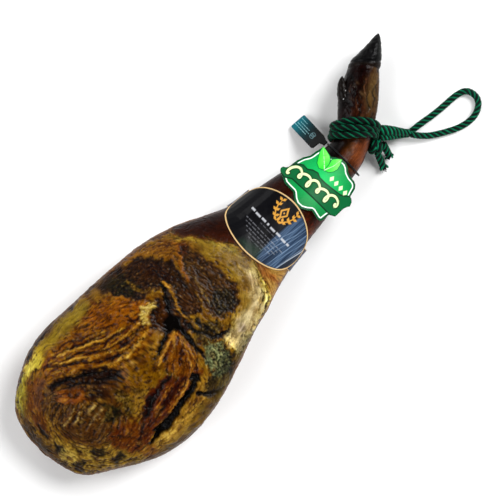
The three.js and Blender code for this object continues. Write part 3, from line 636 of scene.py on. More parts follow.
def lay(mask, low, high, t, lift=None, rough=None):
    """Lays one material over the plan: low to high colour by t, with its own relief."""
    r, c = np.flatnonzero(mask.any(axis=1)), np.flatnonzero(mask.any(axis=0))
    if not len(r):
        return
    w = (slice(r[0], r[-1] + 1), slice(c[0], c[-1] + 1))
    k = mask[w]
    m = k[..., None]
    COL[w] = COL[w] * (1 - m) + shade(low, high, t[w] if np.ndim(t) else t) * m
    if lift is not None:
        RELIEF[w] = RELIEF[w] * (1 - k) + (lift[w] if np.ndim(lift) else lift) * k
    if rough is not None:
        WET[w] = WET[w] * (1 - k) + rough * k


def press(mask, depth):
    r, c = np.flatnonzero(mask.any(axis=1)), np.flatnonzero(mask.any(axis=0))
    if len(r):
        w = (slice(r[0], r[-1] + 1), slice(c[0], c[-1] + 1))
        RELIEF[w] -= mask[w] * depth


F, B = 0.5 + 0.5 * FINE, 0.5 + 0.5 * BROAD
ALL = np.ones(UU.shape, dtype=np.float32)

# open fat that covers the whole face first
lay(ALL, (104, 66, 12), (142, 104, 34), 0.45 * F + 0.35 * B + 0.3 * (CLOUD + 0.5), 0.35 * FINE + 0.5 * BROAD + 0.7 * CLOUD, 0.36)
# amber field left of the bone, with long brown fibres
lay(area([(84, 304), (112, 298), (150, 296), (158, 318), (152, 350), (160, 376), (130, 388), (104, 366), (64, 378), (44, 384), (40, 364), (52, 346), (66, 326)], 7, 4),
    (92, 46, 4), (146, 94, 20), 0.15 + 0.5 * F + 0.5 * B - 0.3 * CLOUD, 0.5 * FINE + 1.0 * BROAD, 0.32)
lay(area([(104, 302), (140, 298), (150, 308), (128, 326), (96, 330), (86, 316)], 8, 4), (112, 56, 4), (150, 90, 16), 0.6 * F + 0.4 * B + 0.2 * MOTTLE, rough=0.3)
# dark fibre bundles running down to the left
FIB = area([(46, 352), (80, 336), (118, 322), (150, 318), (158, 344), (140, 362), (100, 368), (62, 376), (44, 372)], 6, 4)
lay(FIB * sstep(0.05, 0.75, BROAD + 0.45 * FINE + 0.12), (62, 24, 2), (88, 44, 6), F, rough=0.34)
press(FIB * sstep(0.0, 0.9, BROAD + 0.3 * FINE), 1.1)
lay(FIB * sstep(0.25, 0.95, -BROAD - 0.4 * FINE + 0.05), (150, 100, 22), (196, 152, 66), F, rough=0.26)
for pts, wd in [
    ([(148, 322), (128, 340), (108, 348), (84, 352), (60, 360)], (1.5, 2.6, 2.2, 2.6, 1.2)),
    ([(140, 316), (116, 334), (90, 342), (62, 352)], (1, 2.0, 2.4, 1)),
    ([(146, 336), (124, 352), (100, 358), (76, 362), (52, 366)], (1, 2.4, 2.8, 2.2, 1)),
    ([(118, 322), (96, 334), (74, 340), (56, 350)], (1, 1.6, 1.8, 1)),
    ([(132, 340), (112, 360), (100, 372)], (1, 2.2, 1)),
]:
    s = line(pts, wd, 1.4, 1.6)
    lay(0.75 * s, (48, 20, 4), (78, 38, 8), F)
    press(s, 1.2)
for pts, wd in [
    ([(150, 332), (134, 350), (118, 360), (102, 364)], (1, 2.2, 1.8, 0.8)), ([(146, 326), (126, 346), (110, 352)], (1, 1.6, 0.8)),
    ([(152, 342), (138, 358), (120, 368)], (0.8, 1.8, 0.8)), ([(100, 340), (80, 346), (58, 354)], (0.8, 1.6, 0.8)), ([(92, 356), (70, 360), (52, 362)], (0.8, 1.4, 0.8)),
]:
    s = line(pts, wd, 1.2, 1.4)
    lay(0.8 * s, (150, 104, 28), (206, 166, 84), F, rough=0.24)
    press(s, -0.9)
# yellow fat along the left edge
lay(area([(92, 300), (90, 312), (70, 332), (50, 348), (42, 356), (34, 352), (44, 336), (62, 316), (80, 302)], 4, 3.5),
    (108, 78, 10), (156, 128, 48), 0.2 + 0.45 * F + 0.4 * B + 0.5 * MOTTLE, 0.8 + 0.4 * FINE + 0.5 * MOTTLE, 0.33)
lay(area([(44, 350), (48, 356), (44, 366), (34, 372), (27, 378), (25, 370), (30, 360), (36, 354)], 2.5, 2), (136, 104, 26), (196, 174, 84), 0.4 * F + 0.5 + 0.5 * MOTTLE,
    1.6 + 0.4 * MOTTLE, 0.3)
lay(area([(26, 372), (29, 388), (26, 402), (29, 414), (24, 420), (17, 408), (16, 392), (20, 378)], 2, 2), (104, 82, 18), (166, 148, 68), 0.55 * F + 0.5 * B + 0.4 * MOTTLE,
    1.2 + 0.6 * MOTTLE, 0.36)
lay(area([(30, 380), (44, 376), (50, 392), (46, 412), (54, 430), (44, 436), (32, 420), (27, 404)], 3, 3), (70, 34, 4), (116, 68, 16), 0.5 * F + 0.4 * B + 0.5 * (MOTTLE + .3),
    0.2 + 0.5 * BROAD, 0.36)
# amber gold above the dried meat
lay(area([(96, 282), (120, 262), (142, 250), (166, 238), (190, 238), (198, 248), (186, 252), (184, 262), (170, 262), (150, 257), (128, 262), (106, 276)], 4, 3),
    (98, 56, 6), (138, 92, 28), 0.5 * F + 0.35 * B + 0.25 * (CLOUD + .5), 0.5 + 0.35 * FINE + 0.5 * CLOUD, 0.34)
# golden fat towards the shank, fine lines running to the right edge
FAT_R = area([(176, 232), (200, 236), (232, 244), (248, 256), (262, 268), (271, 292), (274, 304), (264, 326), (254, 340), (246, 360), (238, 362), (226, 346), (226, 332),
              (234, 312), (242, 300), (238, 284), (226, 270), (206, 258), (190, 244), (184, 240)], 4, 2.5)
lay(FAT_R, (102, 72, 16), (158, 124, 48), 0.25 + 0.4 * F + 0.4 * B + 0.35 * CLOUD, 1.0 + 0.3 * FINE + 0.5 * BROAD + 0.6 * CLOUD, 0.34)
PALE = area([(240, 264), (256, 268), (266, 286), (272, 304), (262, 326), (252, 340), (246, 350), (236, 350), (228, 338), (234, 322), (246, 306), (252, 292), (244, 276)], 4, 3.5)
lay(PALE, (126, 96, 36), (222, 200, 134), 0.1 + 0.55 * F + 0.45 * B + 0.2 * MOTTLE, 1.6 + 0.6 * FINE + 0.9 * BROAD, 0.3)
lay(area([(222, 332), (234, 326), (246, 330), (246, 342), (236, 350), (226, 344)], 2.6, 2), (150, 118, 44), (236, 218, 158), 0.3 + 0.5 * F + 0.3 * B, 2.0 + 0.5 * FINE, 0.26)
for pts in [[(250, 268), (256, 286), (250, 304), (242, 320)], [(258, 272), (262, 292), (256, 312), (248, 328)], [(244, 270), (250, 284), (246, 300), (238, 316)],
            [(264, 284), (267, 300), (260, 318), (252, 334)], [(236, 262), (243, 274), (244, 288)]]:
    s = line(pts, (0.6, 1.8, 2.0, 0.7)[:len(pts)], 1.3, 1.8)
    lay(0.6 * s, (112, 70, 14), (150, 100, 34), F)
    press(s, 1.1)
lay(line([(204, 239), (232, 250), (246, 262)], (3, 6, 3), 2.5, 2), (128, 104, 40), (158, 134, 60), F)
for pts in [[(200, 246), (220, 254), (238, 268)], [(212, 244), (232, 254), (248, 268)], [(196, 252), (214, 262), (230, 272)]]:
    lay(0.5 * line(pts, (0.8, 1.6, 0.8), 1.3, 1.6), (84, 52, 8), (110, 74, 20), F)

# dried meat, upper left
P1 = area([(97, 287), (104, 276), (118, 266), (134, 260), (154, 257), (170, 261), (181, 270), (187, 279), (195, 291), (203, 305), (201, 316), (190, 315), (181, 315), (172, 306),
           (167, 290), (162, 286), (150, 293), (139, 299), (122, 296), (107, 292)], 1.6, 2.2)
lay(P1, (26, 9, 1), (82, 50, 22), 0.1 + 0.5 * F + 0.35 * B + 0.3 * GRIT + 0.3 * MOTTLE, -1.1 + 0.6 * FINE + 0.8 * GRIT + 0.5 * MOTTLE, 0.42)
lay(0.8 * area([(104, 285), (112, 276), (126, 274), (140, 284), (134, 296), (118, 293)], 3, 3), (18, 12, 4), (66, 54, 22), 0.3 * F + 0.7 * (GRIT + .35) + 0.2 * MOTTLE, rough=0.5)
lay(0.7 * line([(128, 279), (140, 290), (152, 287)], (2, 4, 2), 1.5, 2), (96, 62, 12), (140, 100, 30), F)
lay(0.75 * area([(140, 266), (156, 262), (170, 270), (178, 280), (166, 282), (152, 276)], 3, 3), (30, 9, 1), (62, 30, 12), F + 0.5 * GRIT)
lay(0.8 * area([(180, 290), (192, 290), (200, 306), (192, 314), (180, 306)], 2.5, 3), (44, 20, 4), (118, 78, 46), 0.1 + 0.5 * F + 0.7 * GRIT)
lay(0.7 * line([(86, 290), (94, 300), (108, 304)], (1.6, 4, 1.4), 1.4, 2), (66, 26, 4), (96, 46, 12), F)
lay(0.8 * line([(92, 291), (84, 296), (72, 304), (62, 314)], (2.2, 3.6, 3.0, 1.2), 1.4, 2), (46, 20, 6), (78, 40, 12), F)
# dried meat, lower right of it
P2 = area([(182, 243), (189, 246), (196, 252), (211, 262), (226, 274), (236, 285), (240, 299), (233, 310), (220, 317), (211, 313), (203, 302), (191, 286), (184, 271), (180, 256)], 1.6, 2.2)
lay(P2, (34, 14, 1), (104, 70, 36), 0.08 + 0.55 * F + 0.4 * B + 0.25 * GRIT + 0.25 * MOTTLE, -0.9 + 0.7 * FINE + 0.8 * GRIT, 0.42)
lay(0.75 * area([(214, 290), (232, 288), (237, 300), (230, 310), (218, 315), (212, 306)], 2.5, 3), (18, 10, 2), (84, 72, 52), 0.35 * F + 0.7 * (GRIT + .2), -1.4 + 0.9 * GRIT, 0.5)
lay(0.8 * line([(176, 243), (181, 254), (184, 268), (189, 280)], (2.4, 3.2, 3.4, 1.4), 1.4, 1.6), (120, 62, 10), (164, 108, 34), F, 0.8 + 0.4 * FINE, 0.3)
lay(0.6 * line([(190, 272), (204, 290), (211, 302)], (1.2, 2.2, 1), 1.2, 1.4), (120, 92, 44), (170, 142, 84), F)
press(line([(196, 264), (210, 280), (222, 296)], (1, 2, 1), 1, 1.4), 0.9)
lay(0.7 * area([(178, 242), (186, 241), (189, 250), (184, 256)], 1.6, 1.6), (56, 24, 6), (96, 50, 22), F)

# bone end, its cavity and the two dark seams that leave it; the cavity is painted near black as painted shade in the
# hollow, and the seams' own dark colour is deepened by painted shade
lay(0.85 * area([(150, 304), (164, 296), (176, 306), (190, 318), (196, 330), (184, 334), (170, 332), (154, 326)], 3, 3.5), (26, 8, 2), (84, 44, 18), 0.1 + 0.5 * F + 0.8 * GRIT, -2.2 + 1.2 * GRIT + 0.7 * MOTTLE, 0.36)
CAV = area([(166, 318), (172, 313), (180, 318), (182, 326), (174, 331), (165, 328)], 1.8, 1.6)
lay(CAV, (6, 2, 1), (30, 14, 8), F * 0.6, -5.5, 0.3)
for pts, wd, c, dep in [
    ([(164, 283), (167, 294), (170, 306), (174, 318)], (1.0, 3.4, 4.6, 5), 0.85, 2.2),
    ([(172, 326), (166, 338), (160, 348), (156, 358)], (5, 3.8, 2.6, 1.2), 0.9, 2.6),
    ([(180, 326), (188, 334), (196, 344), (205, 357)], (5, 4.6, 3.8, 1.6), 0.85, 2.4),
    ([(186, 322), (200, 330), (214, 336), (229, 329)], (2.5, 4.6, 5.6, 1.4), 0.8, 1.6),
    ([(155, 354), (150, 364), (152, 378), (150, 392)], (1.2, 1.6, 1.8, 1.2), 0.6, 1.2),
]:
    s = line(pts, wd, 1.4, 1.4)
    lay(c * s, (14, 5, 2), (48, 22, 9), 0.6 * F + 0.3 * GRIT, rough=0.32)
    press(s, dep)
lay(0.9 * line([(165, 281), (171, 286), (176, 296), (181, 308), (186, 318)], (3.2, 3.6, 2.6, 2.4, 1.0), 1.1, 1.3), (112, 68, 14), (172, 126, 50), F + 0.2 * MOTTLE, 1.4, 0.28)
lay(0.9 * area([(140, 306), (148, 302), (156, 300), (158, 306), (152, 312), (152, 322), (144, 324), (139, 316)], 2, 2.4), (104, 72, 14), (188, 160, 92), 0.3 + 0.5 * F + 0.6 * MOTTLE + 0.3 * GRIT, 1.3 + 0.7 * MOTTLE, 0.32)
# meat between the seams
lay(area([(172, 332), (180, 332), (190, 344), (198, 356), (202, 370), (196, 376), (184, 372), (170, 372), (160, 366), (164, 350)], 3, 2.6),
    (66, 24, 2), (146, 90, 20), 0.4 * F + 0.5 * B + 0.25 * (MOTTLE + .4), 0.2 + 0.5 * FINE + 1.0 * BROAD, 0.3)
for pts in [[(174, 330), (176, 344), (172, 358)], [(180, 340), (188, 352), (192, 364)], [(166, 348), (160, 362), (158, 374)]]:
    s = line(pts, (1.2, 2.4, 1.0), 1.2, 1.2)
    lay(0.75 * s, (138, 86, 22), (186, 142, 66), F, rough=0.26)
    press(s, -0.7)
for pts in [[(184, 338), (182, 352), (186, 366)], [(168, 340), (166, 356), (168, 370)], [(194, 352), (198, 364), (196, 374)]]:
    s = line(pts, (1.4, 3.0, 1.2), 1.5, 1.4)
    lay(0.7 * s, (36, 10, 2), (62, 24, 6), F)
    press(s, 1.0)
# olive gold middle
lay(0.9 * area([(134, 362), (150, 356), (164, 362), (164, 378), (150, 388), (134, 384), (126, 374)], 5, 3), (96, 58, 4), (124, 84, 14), 0.5 * F + 0.3 * B + 0.3 * (CLOUD + .4), 0.9 + 0.3 * FINE, 0.28)

# round muscle, lower left
lay(area([(48, 384), (62, 374), (84, 370), (110, 366), (124, 374), (128, 392), (134, 408), (130, 428), (118, 440), (96, 446), (74, 438), (56, 424), (46, 404)], 4, 4),
    (62, 32, 4), (116, 78, 30), 0.5 * F + 0.4 * B + 0.35 * MOTTLE, -0.2 + 0.8 * FINE + 0.9 * BROAD + 0.4 * MOTTLE, 0.35)
RIM = area([(50, 386), (62, 377), (84, 370), (106, 364), (122, 368), (128, 380), (112, 378), (98, 380), (84, 380), (66, 384), (54, 392)], 2.2, 3)
lay(0.9 * RIM, (18, 5, 2), (66, 34, 14), 0.45 * F + 0.3 * B + 0.4 * GRIT, -1.4 + 0.8 * FINE + 0.5 * GRIT, 0.38)
lay(0.8 * area([(58, 392), (72, 387), (90, 386), (94, 396), (80, 402), (64, 402)], 3, 3), (96, 40, 4), (150, 88, 26), 0.5 * F + 0.4 * B + 0.3 * (MOTTLE + .3), 0.6 + 0.5 * FINE, 0.3)
lay(0.8 * area([(84, 386), (104, 384), (118, 388), (112, 396), (94, 396)], 2.6, 3), (26, 10, 3), (62, 36, 16), F * 0.8 + 0.3 * GRIT, rough=0.42)
for pts in [[(76, 384), (70, 392), (60, 398)], [(92, 380), (84, 388), (78, 396)], [(66, 402), (58, 410), (52, 420)], [(48, 392), (44, 402), (46, 414)]]:
    s = line(pts, (1, 2.6, 1), 1.4, 1.8)
    lay(0.6 * s, (34, 12, 2), (60, 28, 8), F)
    press(s, 0.8)
for pts in [[(106, 402), (100, 412), (92, 422)], [(98, 400), (92, 410), (84, 420)], [(88, 404), (82, 414), (76, 422)], [(112, 408), (106, 418), (98, 428)], [(78, 406), (72, 416), (66, 424)]]:
    s = line(pts, (0.8, 1.8, 0.8), 1.0, 1.2)
    lay(0.75 * s, (136, 104, 52), (196, 168, 112), F, rough=0.26)
    press(s, -1.2)
for pts in [[(103, 404), (96, 416), (88, 426)], [(93, 404), (87, 414), (80, 424)], [(84, 406), (77, 416), (71, 426)], [(109, 412), (102, 424), (94, 432)]]:
    s = line(pts, (0.8, 1.8, 0.8), 1.0, 1.2)
    lay(0.65 * s, (46, 22, 6), (66, 36, 12), F)
    press(s, 1.0)
lay(0.85 * area([(106, 402), (118, 402), (124, 412), (116, 422), (108, 418)], 2.2, 3), (20, 14, 4), (66, 52, 26), 0.3 * F + 0.8 * (GRIT + .2), -1.0 + 0.7 * GRIT, 0.48)
lay(0.6 * line([(126, 380), (134, 388), (144, 392), (152, 398)], (2, 3.6, 3.6, 4.6), 2, 2), (36, 20, 4), (70, 46, 16), F + 0.3 * GRIT)
lay(0.7 * area([(116, 388), (130, 392), (138, 404), (132, 414), (122, 406)], 3.4, 3.4), (62, 42, 6), (112, 86, 30), F + 0.4 * MOTTLE)
lay(0.75 * area([(114, 424), (132, 416), (150, 422), (148, 440), (134, 450), (118, 446), (110, 436)], 4, 4), (62, 18, 2), (122, 64, 14), 0.4 * F + 0.4 * B + 0.45 * (MOTTLE + .2), 0.3 + 0.6 * BROAD, 0.34)

# long muscle beside the slit
lay(area([(154, 384), (168, 374), (184, 372), (196, 374), (192, 388), (180, 402), (166, 418), (156, 432), (146, 442), (140, 430), (146, 412), (148, 396)], 3, 3),
    (48, 10, 1), (104, 54, 14), 0.12 + 0.5 * F + 0.45 * B, 0.3 + 0.6 * FINE + 1.1 * BROAD, 0.31)
for pts, wd in [([(170, 374), (160, 388), (152, 400), (146, 416)], (1.4, 3.6, 4.4, 1.8)), ([(180, 378), (170, 392), (162, 406), (152, 424)], (1, 2.2, 2.2, 1)), ([(188, 376), (180, 390), (170, 402)], (1, 2, 1)),
                ([(152, 396), (148, 404), (146, 412)], (3.5, 5, 3)), ([(146, 420), (142, 434), (138, 446)], (2, 3, 1.2))]:
    s = line(pts, wd, 1.5, 1.6)
    lay(0.75 * s, (24, 5, 1), (52, 18, 4), F)
    press(s, 1.2)
for pts in [[(176, 378), (166, 392), (158, 406)], [(186, 382), (176, 396), (166, 410)], [(164, 384), (156, 396)]]:
    s = line(pts, (0.8, 2.0, 0.8)[:len(pts)], 1.1, 1.4)
    lay(0.65 * s, (118, 64, 14), (168, 112, 40), F, rough=0.26)
    press(s, -0.7)
# fat right of the slit
lay(area([(204, 384), (214, 384), (226, 376), (234, 374), (228, 392), (218, 406), (204, 420), (190, 434), (172, 448), (150, 456), (138, 462), (140, 450), (152, 444), (166, 430), (180, 416), (192, 402), (200, 392)], 3, 3),
    (92, 58, 10), (168, 132, 62), 0.15 + 0.5 * F + 0.4 * B + 0.4 * MOTTLE, 0.9 + 0.5 * FINE + 0.8 * BROAD, 0.33)
lay(0.75 * area([(166, 432), (178, 424), (188, 420), (190, 430), (180, 438), (168, 442)], 3, 2.6), (140, 102, 30), (212, 180, 108), 0.5 * F + 0.4 * B + 0.1, 1.6, 0.28)
lay(0.6 * area([(196, 402), (210, 392), (222, 388), (214, 402), (202, 414)], 2.6, 3), (74, 56, 22), (124, 102, 56), F + 0.5 * GRIT, rough=0.45)
lay(0.6 * area([(140, 446), (154, 442), (162, 452), (148, 458)], 3, 3), (92, 44, 8), (136, 84, 26), F + 0.3 * MOTTLE)
for pts in [[(206, 396), (196, 412), (182, 424)], [(214, 400), (202, 414), (190, 426)], [(186, 422), (172, 436), (158, 446)], [(198, 396), (188, 410), (178, 418)]]:
    s = line(pts, (0.8, 1.8, 0.8), 1.3, 1.8)
    lay(0.55 * s, (80, 42, 6), (112, 66, 18), F)
    press(s, 0.8)
# grey-green bloom by the joint
MLD = area([(205, 346), (210, 341), (222, 342), (230, 350), (233, 362), (229, 372), (222, 379), (214, 374), (208, 362)], 2.6, 3)
lay(area([(196, 322), (212, 318), (226, 326), (222, 340), (232, 352), (236, 364), (228, 382), (216, 392), (206, 388), (210, 372), (204, 354), (196, 340)], 4, 4),
    (52, 34, 8), (116, 90, 44), 0.4 * F + 0.7 * (GRIT + .2) + 0.3 * MOTTLE, -0.4 + 0.9 * GRIT + 0.6 * MOTTLE, 0.46)
lay(0.8 * line([(198, 320), (212, 330), (222, 334), (229, 328)], (4, 7, 5, 2), 2.2, 2.5), (22, 12, 3), (66, 48, 24), 0.4 * F + 0.7 * GRIT, -1.8 + 0.9 * GRIT, 0.42)
lay(0.92 * MLD, (44, 42, 22), (150, 150, 122), 0.1 + 0.35 * F + 0.75 * (GRIT + .3) + 0.35 * MOTTLE, -0.5 + 1.3 * GRIT + 0.7 * MOTTLE, 0.6)
lay(0.6 * area([(218, 380), (230, 372), (236, 362), (238, 376), (228, 392), (214, 404)], 3, 3), (96, 78, 32), (160, 140, 84), F + 0.5 * GRIT, rough=0.4)
lay(0.7 * line([(228, 364), (233, 370), (232, 378)], (2, 5, 3), 1.6, 1.5), (30, 26, 16), (70, 64, 44), F + 0.4 * GRIT)
# the long slit and its side branch, painted near black as painted shade in the gap
SLIT = line([(197, 372), (198, 378), (192, 388), (184, 400), (176, 411), (166, 424), (158, 433), (150, 441)], (3.6, 5.6, 5.2, 4.8, 6.0, 6.8, 5, 1.6), 1.2, 1.8)
lay(SLIT, (9, 3, 1), (60, 34, 18), 0.5 * F + 0.8 * GRIT, -4.2 + 1.4 * GRIT, 0.34)
lay(0.95 * line([(194, 382), (186, 394), (178, 406)], (1.6, 2.4, 1.6), 0.9, 1), (2, 1, 1), (14, 8, 4), F, -7.0, 0.3)
lay(0.95 * line([(172, 414), (162, 427), (155, 436)], (1.8, 3.2, 1.2), 0.9, 1), (2, 1, 1), (16, 9, 5), F, -6.5, 0.3)
s = line([(198, 391), (208, 392), (216, 389), (223, 386)], (3, 3.4, 2.4, 1), 1.1, 1.3)
lay(0.9 * s, (16, 7, 2), (60, 36, 16), F, -2.4, 0.36)
lay(0.8 * area([(193, 371), (200, 371), (202, 378), (196, 380), (191, 377)], 1.2, 1.5), (6, 2, 1), (24, 12, 6), F, -4.5)
lay(0.75 * line([(190, 374), (186, 386), (178, 398), (170, 410)], (0.8, 1.8, 1.8, 0.8), 1.0, 1.0), (118, 72, 18), (180, 128, 50), F, 1.4, 0.26)

# mottled lower end
lay(0.85 * area([(52, 436), (74, 440), (96, 448), (112, 446), (132, 452), (142, 460), (110, 470), (86, 480), (70, 474), (56, 460)], 4, 4),
    (56, 34, 4), (162, 126, 48), 0.3 + 0.4 * F + 0.3 * B + 0.9 * MOTTLE + 0.3 * GRIT, 0.2 + 0.8 * MOTTLE + 0.5 * FINE, 0.38)
for c in [[(56, 446), (66, 448), (64, 456), (56, 454)], [(92, 448), (104, 446), (106, 454), (96, 460)], [(112, 456), (124, 452), (128, 458), (116, 464)], [(74, 462), (84, 462), (84, 472), (76, 470)], [(40, 424), (50, 428), (50, 438), (42, 434)]]:
    lay(0.75 * area(c, 2.4, 3), (22, 14, 4), (60, 42, 16), F + 0.4 * GRIT, -0.8 + 0.5 * GRIT)
lay(0.7 * area([(60, 452), (70, 446), (78, 454), (72, 464), (62, 462)], 2.4, 3), (132, 100, 30), (196, 168, 92), 0.5 + 0.5 * F, 1.2)
lay(0.6 * line([(84, 444), (92, 452), (100, 460)], (2, 4, 2), 1.6, 2), (134, 104, 36), (180, 150, 76), F)

# dark rind along the lower left and the upper left outline
s = line([(22, 412), (30, 434), (46, 452), (66, 468), (84, 478)], (3, 10, 10, 8, 5), 3.5, 2.5)
lay(0.8 * s, (34, 18, 3), (96, 62, 18), 0.4 * F + 0.3 * B + 0.5 * (MOTTLE + .3), -0.4 + 0.5 * MOTTLE, 0.42)
s = line([(18, 388), (22, 364), (30, 350), (44, 332), (66, 309), (92, 286), (108, 272)], (1, 4.5, 6.5, 5, 4.5, 5, 2), 1.8, 1.4)
lay(0.85 * s, (22, 9, 2), (64, 38, 12), 0.5 * F + 0.5 * (MOTTLE + .3), -0.3, 0.4)
s = line([(104, 274), (128, 256), (150, 241), (170, 231)], (2, 5, 5, 3), 2.2, 1.2)
lay(0.6 * s, (66, 32, 8), (104, 62, 22), F)

# ---------------------------------------------------------------- rind of the shank
RIND = area([(160, 226), (176, 231), (184, 236), (204, 236), (220, 240), (234, 243), (246, 252), (256, 264), (265, 276), (269, 292), (274, 302), (300, 300), (400, 180), (400, 10), (300, 10), (210, 160), (160, 210)], 2.0, 2.0)
lay(RIND, (44, 14, 5), (112, 50, 20), 0.1 + 0.45 * F + 0.3 * B + 0.55 * (MOTTLE + .3), 1.2 + 0.3 * FINE + 0.35 * MOTTLE, 0.32)


def across(p0, p1):
    """0 at the first edge of the shank, 1 at the other, from a pair of lines."""
    return ((UU - p0[0]) * (p1[0] - p0[0]) + (VV - p0[1]) * (p1[1] - p0[1])) / ((p1[0] - p0[0]) ** 2 + (p1[1] - p0[1]) ** 2)


T1 = across((262, 180), (302, 250))          # left edge to right edge of the shank
# painted shade: the shank darkens towards its left edge
lay(RIND * sstep(0.55, 0.0, T1) * 0.85 * sstep(90, 130, VV), (22, 6, 3), (82, 34, 14), 0.2 + 0.4 * F + 0.6 * (MOTTLE + .25))
lay(RIND * area([(255, 255), (282, 268), (300, 262), (300, 320), (262, 320), (264, 280)], 4, 2), (118, 66, 28), (184, 142, 88), 0.45 * F + 0.5 * B + 0.1, 1.2 + 0.5 * FINE, 0.3)
lay(0.75 * RIND * line([(262, 266), (272, 276), (280, 284)], (3, 6, 3), 3, 2), (100, 40, 14), (150, 86, 44), F)
lay(0.8 * RIND * line([(298, 246), (304, 236), (311, 229)], (3, 8, 4), 4, 1.5), (120, 62, 26), (176, 120, 70), F + 0.3 * MOTTLE)
for c in [(305, 219), (311, 224), (308, 230), (301, 232), (312, 233), (316, 222), (309, 213), (304, 240), (318, 228)]:
    lay(0.8 * area([(c[0] - 1.6, c[1]), (c[0], c[1] - 1.6), (c[0] + 1.8, c[1] + 0.3), (c[0] + 0.2, c[1] + 1.6)], 1.3, 1.2), (150, 44, 22), (170, 66, 34), F)
# ankle between badge and rope: darker at its edges and lighter across the middle, as painted shade and painted light
T2 = across((333, 142), (366, 158))
ANK = RIND * sstep(184, 172, VV) * sstep(132, 140, VV)
lay(ANK, (40, 10, 2), (120, 64, 26), 0.75 * sstep(-0.05, 0.45, T2) * sstep(1.15, 0.6, T2) + 0.25 * F + 0.3 * MOTTLE - 0.05, 1.0 + 0.35 * MOTTLE, 0.3)
lay(0.7 * ANK * area([(341, 139), (349, 137), (353, 146), (350, 158), (344, 154)], 3.4, 2), (96, 56, 18), (146, 104, 50), F + 0.3 * MOTTLE)
lay(0.7 * ANK * area([(358, 146), (366, 144), (366, 160), (358, 168), (354, 160)], 3, 2), (96, 40, 14), (138, 66, 30), F)
lay(0.6 * ANK * line([(345, 160), (350, 168), (352, 172)], (1, 1.8, 1), 1, 1), (160, 130, 90), (190, 160, 120), F)
# pastern: darker on the left as painted shade, tan and olive on the right as painted light
PAS = RIND * sstep(136, 126, VV)
T3 = across((338, 100), (380, 108))
lay(PAS, (16, 3, 2), (60, 20, 10), 0.25 + 0.35 * F + 0.6 * MOTTLE, 1.0 + 0.4 * MOTTLE + 0.3 * BROAD, 0.3)
lay(PAS * sstep(0.40, 0.72, T3 + 0.10 * WARP_A) * sstep(68, 78, VV) * 0.95, (58, 30, 14), (134, 106, 68), 0.15 + 0.5 * F + 0.35 * B + 0.6 * MOTTLE, 1.2 + 0.5 * MOTTLE + 0.4 * FINE, 0.3)
lay(0.75 * PAS * area([(350, 108), (360, 100), (366, 112), (364, 130), (352, 128)], 4, 3), (52, 20, 10), (116, 62, 38), F + 0.4 * MOTTLE)
lay(0.6 * PAS * line([(372, 78), (376, 92), (377, 110)], (3, 4, 3), 2, 1.5), (96, 74, 44), (150, 128, 88), F)
lay(0.6 * PAS * line([(343, 80), (342, 100), (340, 124)], (5, 7, 6), 3, 1.5), (30, 8, 3), (64, 24, 10), F)
# wrinkles on the pastern, pressed in and darkened as painted shade
for pts in [[(352, 82), (356, 87), (354, 94)], [(356, 100), (360, 108), (358, 118)], [(366, 92), (368, 100), (366, 110)], [(346, 100), (350, 106), (350, 116)], [(372, 112), (370, 120), (366, 126)], [(350, 72), (353, 78), (352, 84)]]:
    s = line(pts, (0.8, 2.0, 0.8), 1.1, 1.6)
    lay(0.7 * s * PAS, (12, 4, 2), (28, 10, 5), F)
    press(s * PAS, 1.3)
# painted highlights: small pale glints on the pastern
for pts in [[(356, 80), (359, 84)], [(353, 84), (357, 88)], [(360, 92), (364, 96)], [(350, 96), (353, 100)], [(370, 84), (374, 88)], [(362, 116), (366, 120)]]:
    lay(0.7 * line(pts, 1.6, 1.0, 1.0) * PAS, (130, 118, 100), (180, 170, 150), F, rough=0.22)
# creases round the ankle and along the shank, pressed in and darkened as painted shade
for pts in [[(340, 136), (350, 140), (362, 142)], [(330, 170), (344, 176), (356, 176)], [(336, 160), (348, 168), (360, 166)]]:
    s = line(pts, (0.8, 1.8, 0.8), 1.4, 2.0) * RIND
    lay(0.45 * s, (28, 8, 3), (56, 22, 8), F)
    press(s, 0.8)

# ---------------------------------------------------------------- overall life of the cut face
FACE = 1 - RIND
PATCH = np.clip(P1 + P2 + MLD, 0, 1)
LIVE = FACE * (1 - 0.55 * PATCH) * (1 - 0.55 * PALE)
# dried, darker islands and hollows
BIG = fbm(UU, VV, 17.0, 4, 27, 0.52)
isle = sstep(0.04, 0.42, BIG + 0.30 * BROAD + 0.12 * MOTTLE) * LIVE
lay(0.50 * isle, (48, 20, 3), (88, 46, 9), F)
press(isle, 0.9)
isle = sstep(0.08, 0.45, -BIG + 0.25 * CREASE - 0.05) * LIVE
lay(0.30 * isle, (146, 98, 22), (190, 148, 60), F, rough=0.28)
press(isle, -0.8)
# thin creases that follow the grain, thicker in some places than in others, darkened as painted shade
crease_shade = sstep(0.13, 0.02, np.abs(CREASE + 0.3 * MOTTLE)) * sstep(-0.3, 0.3, LUMP + 0.4 * CLOUD) * FACE
lay(0.60 * crease_shade * (1 - 0.4 * PALE), (32, 12, 2), (62, 30, 8), F)
press(crease_shade, 1.0)
crease_shade_b = sstep(0.10, 0.01, np.abs(LUMP + 0.25 * BROAD)) * sstep(-0.1, 0.4, -BIG) * FACE
lay(0.45 * crease_shade_b, (38, 15, 3), (66, 33, 8), F)
press(crease_shade_b, 0.9)
# painted highlights: pale wet glints of fat
glint_highlight = sstep(0.42, 0.70, GRIT + 0.45 * FINE - 0.15 * MOTTLE) * FACE
lay(0.22 * glint_highlight, (190, 150, 70), (232, 204, 140), F, rough=0.2)
press(glint_highlight, -0.3)
# broad forms of the cut muscles
def form(pts, soft, high):
    press(area(pts, soft, 1.0), -high)


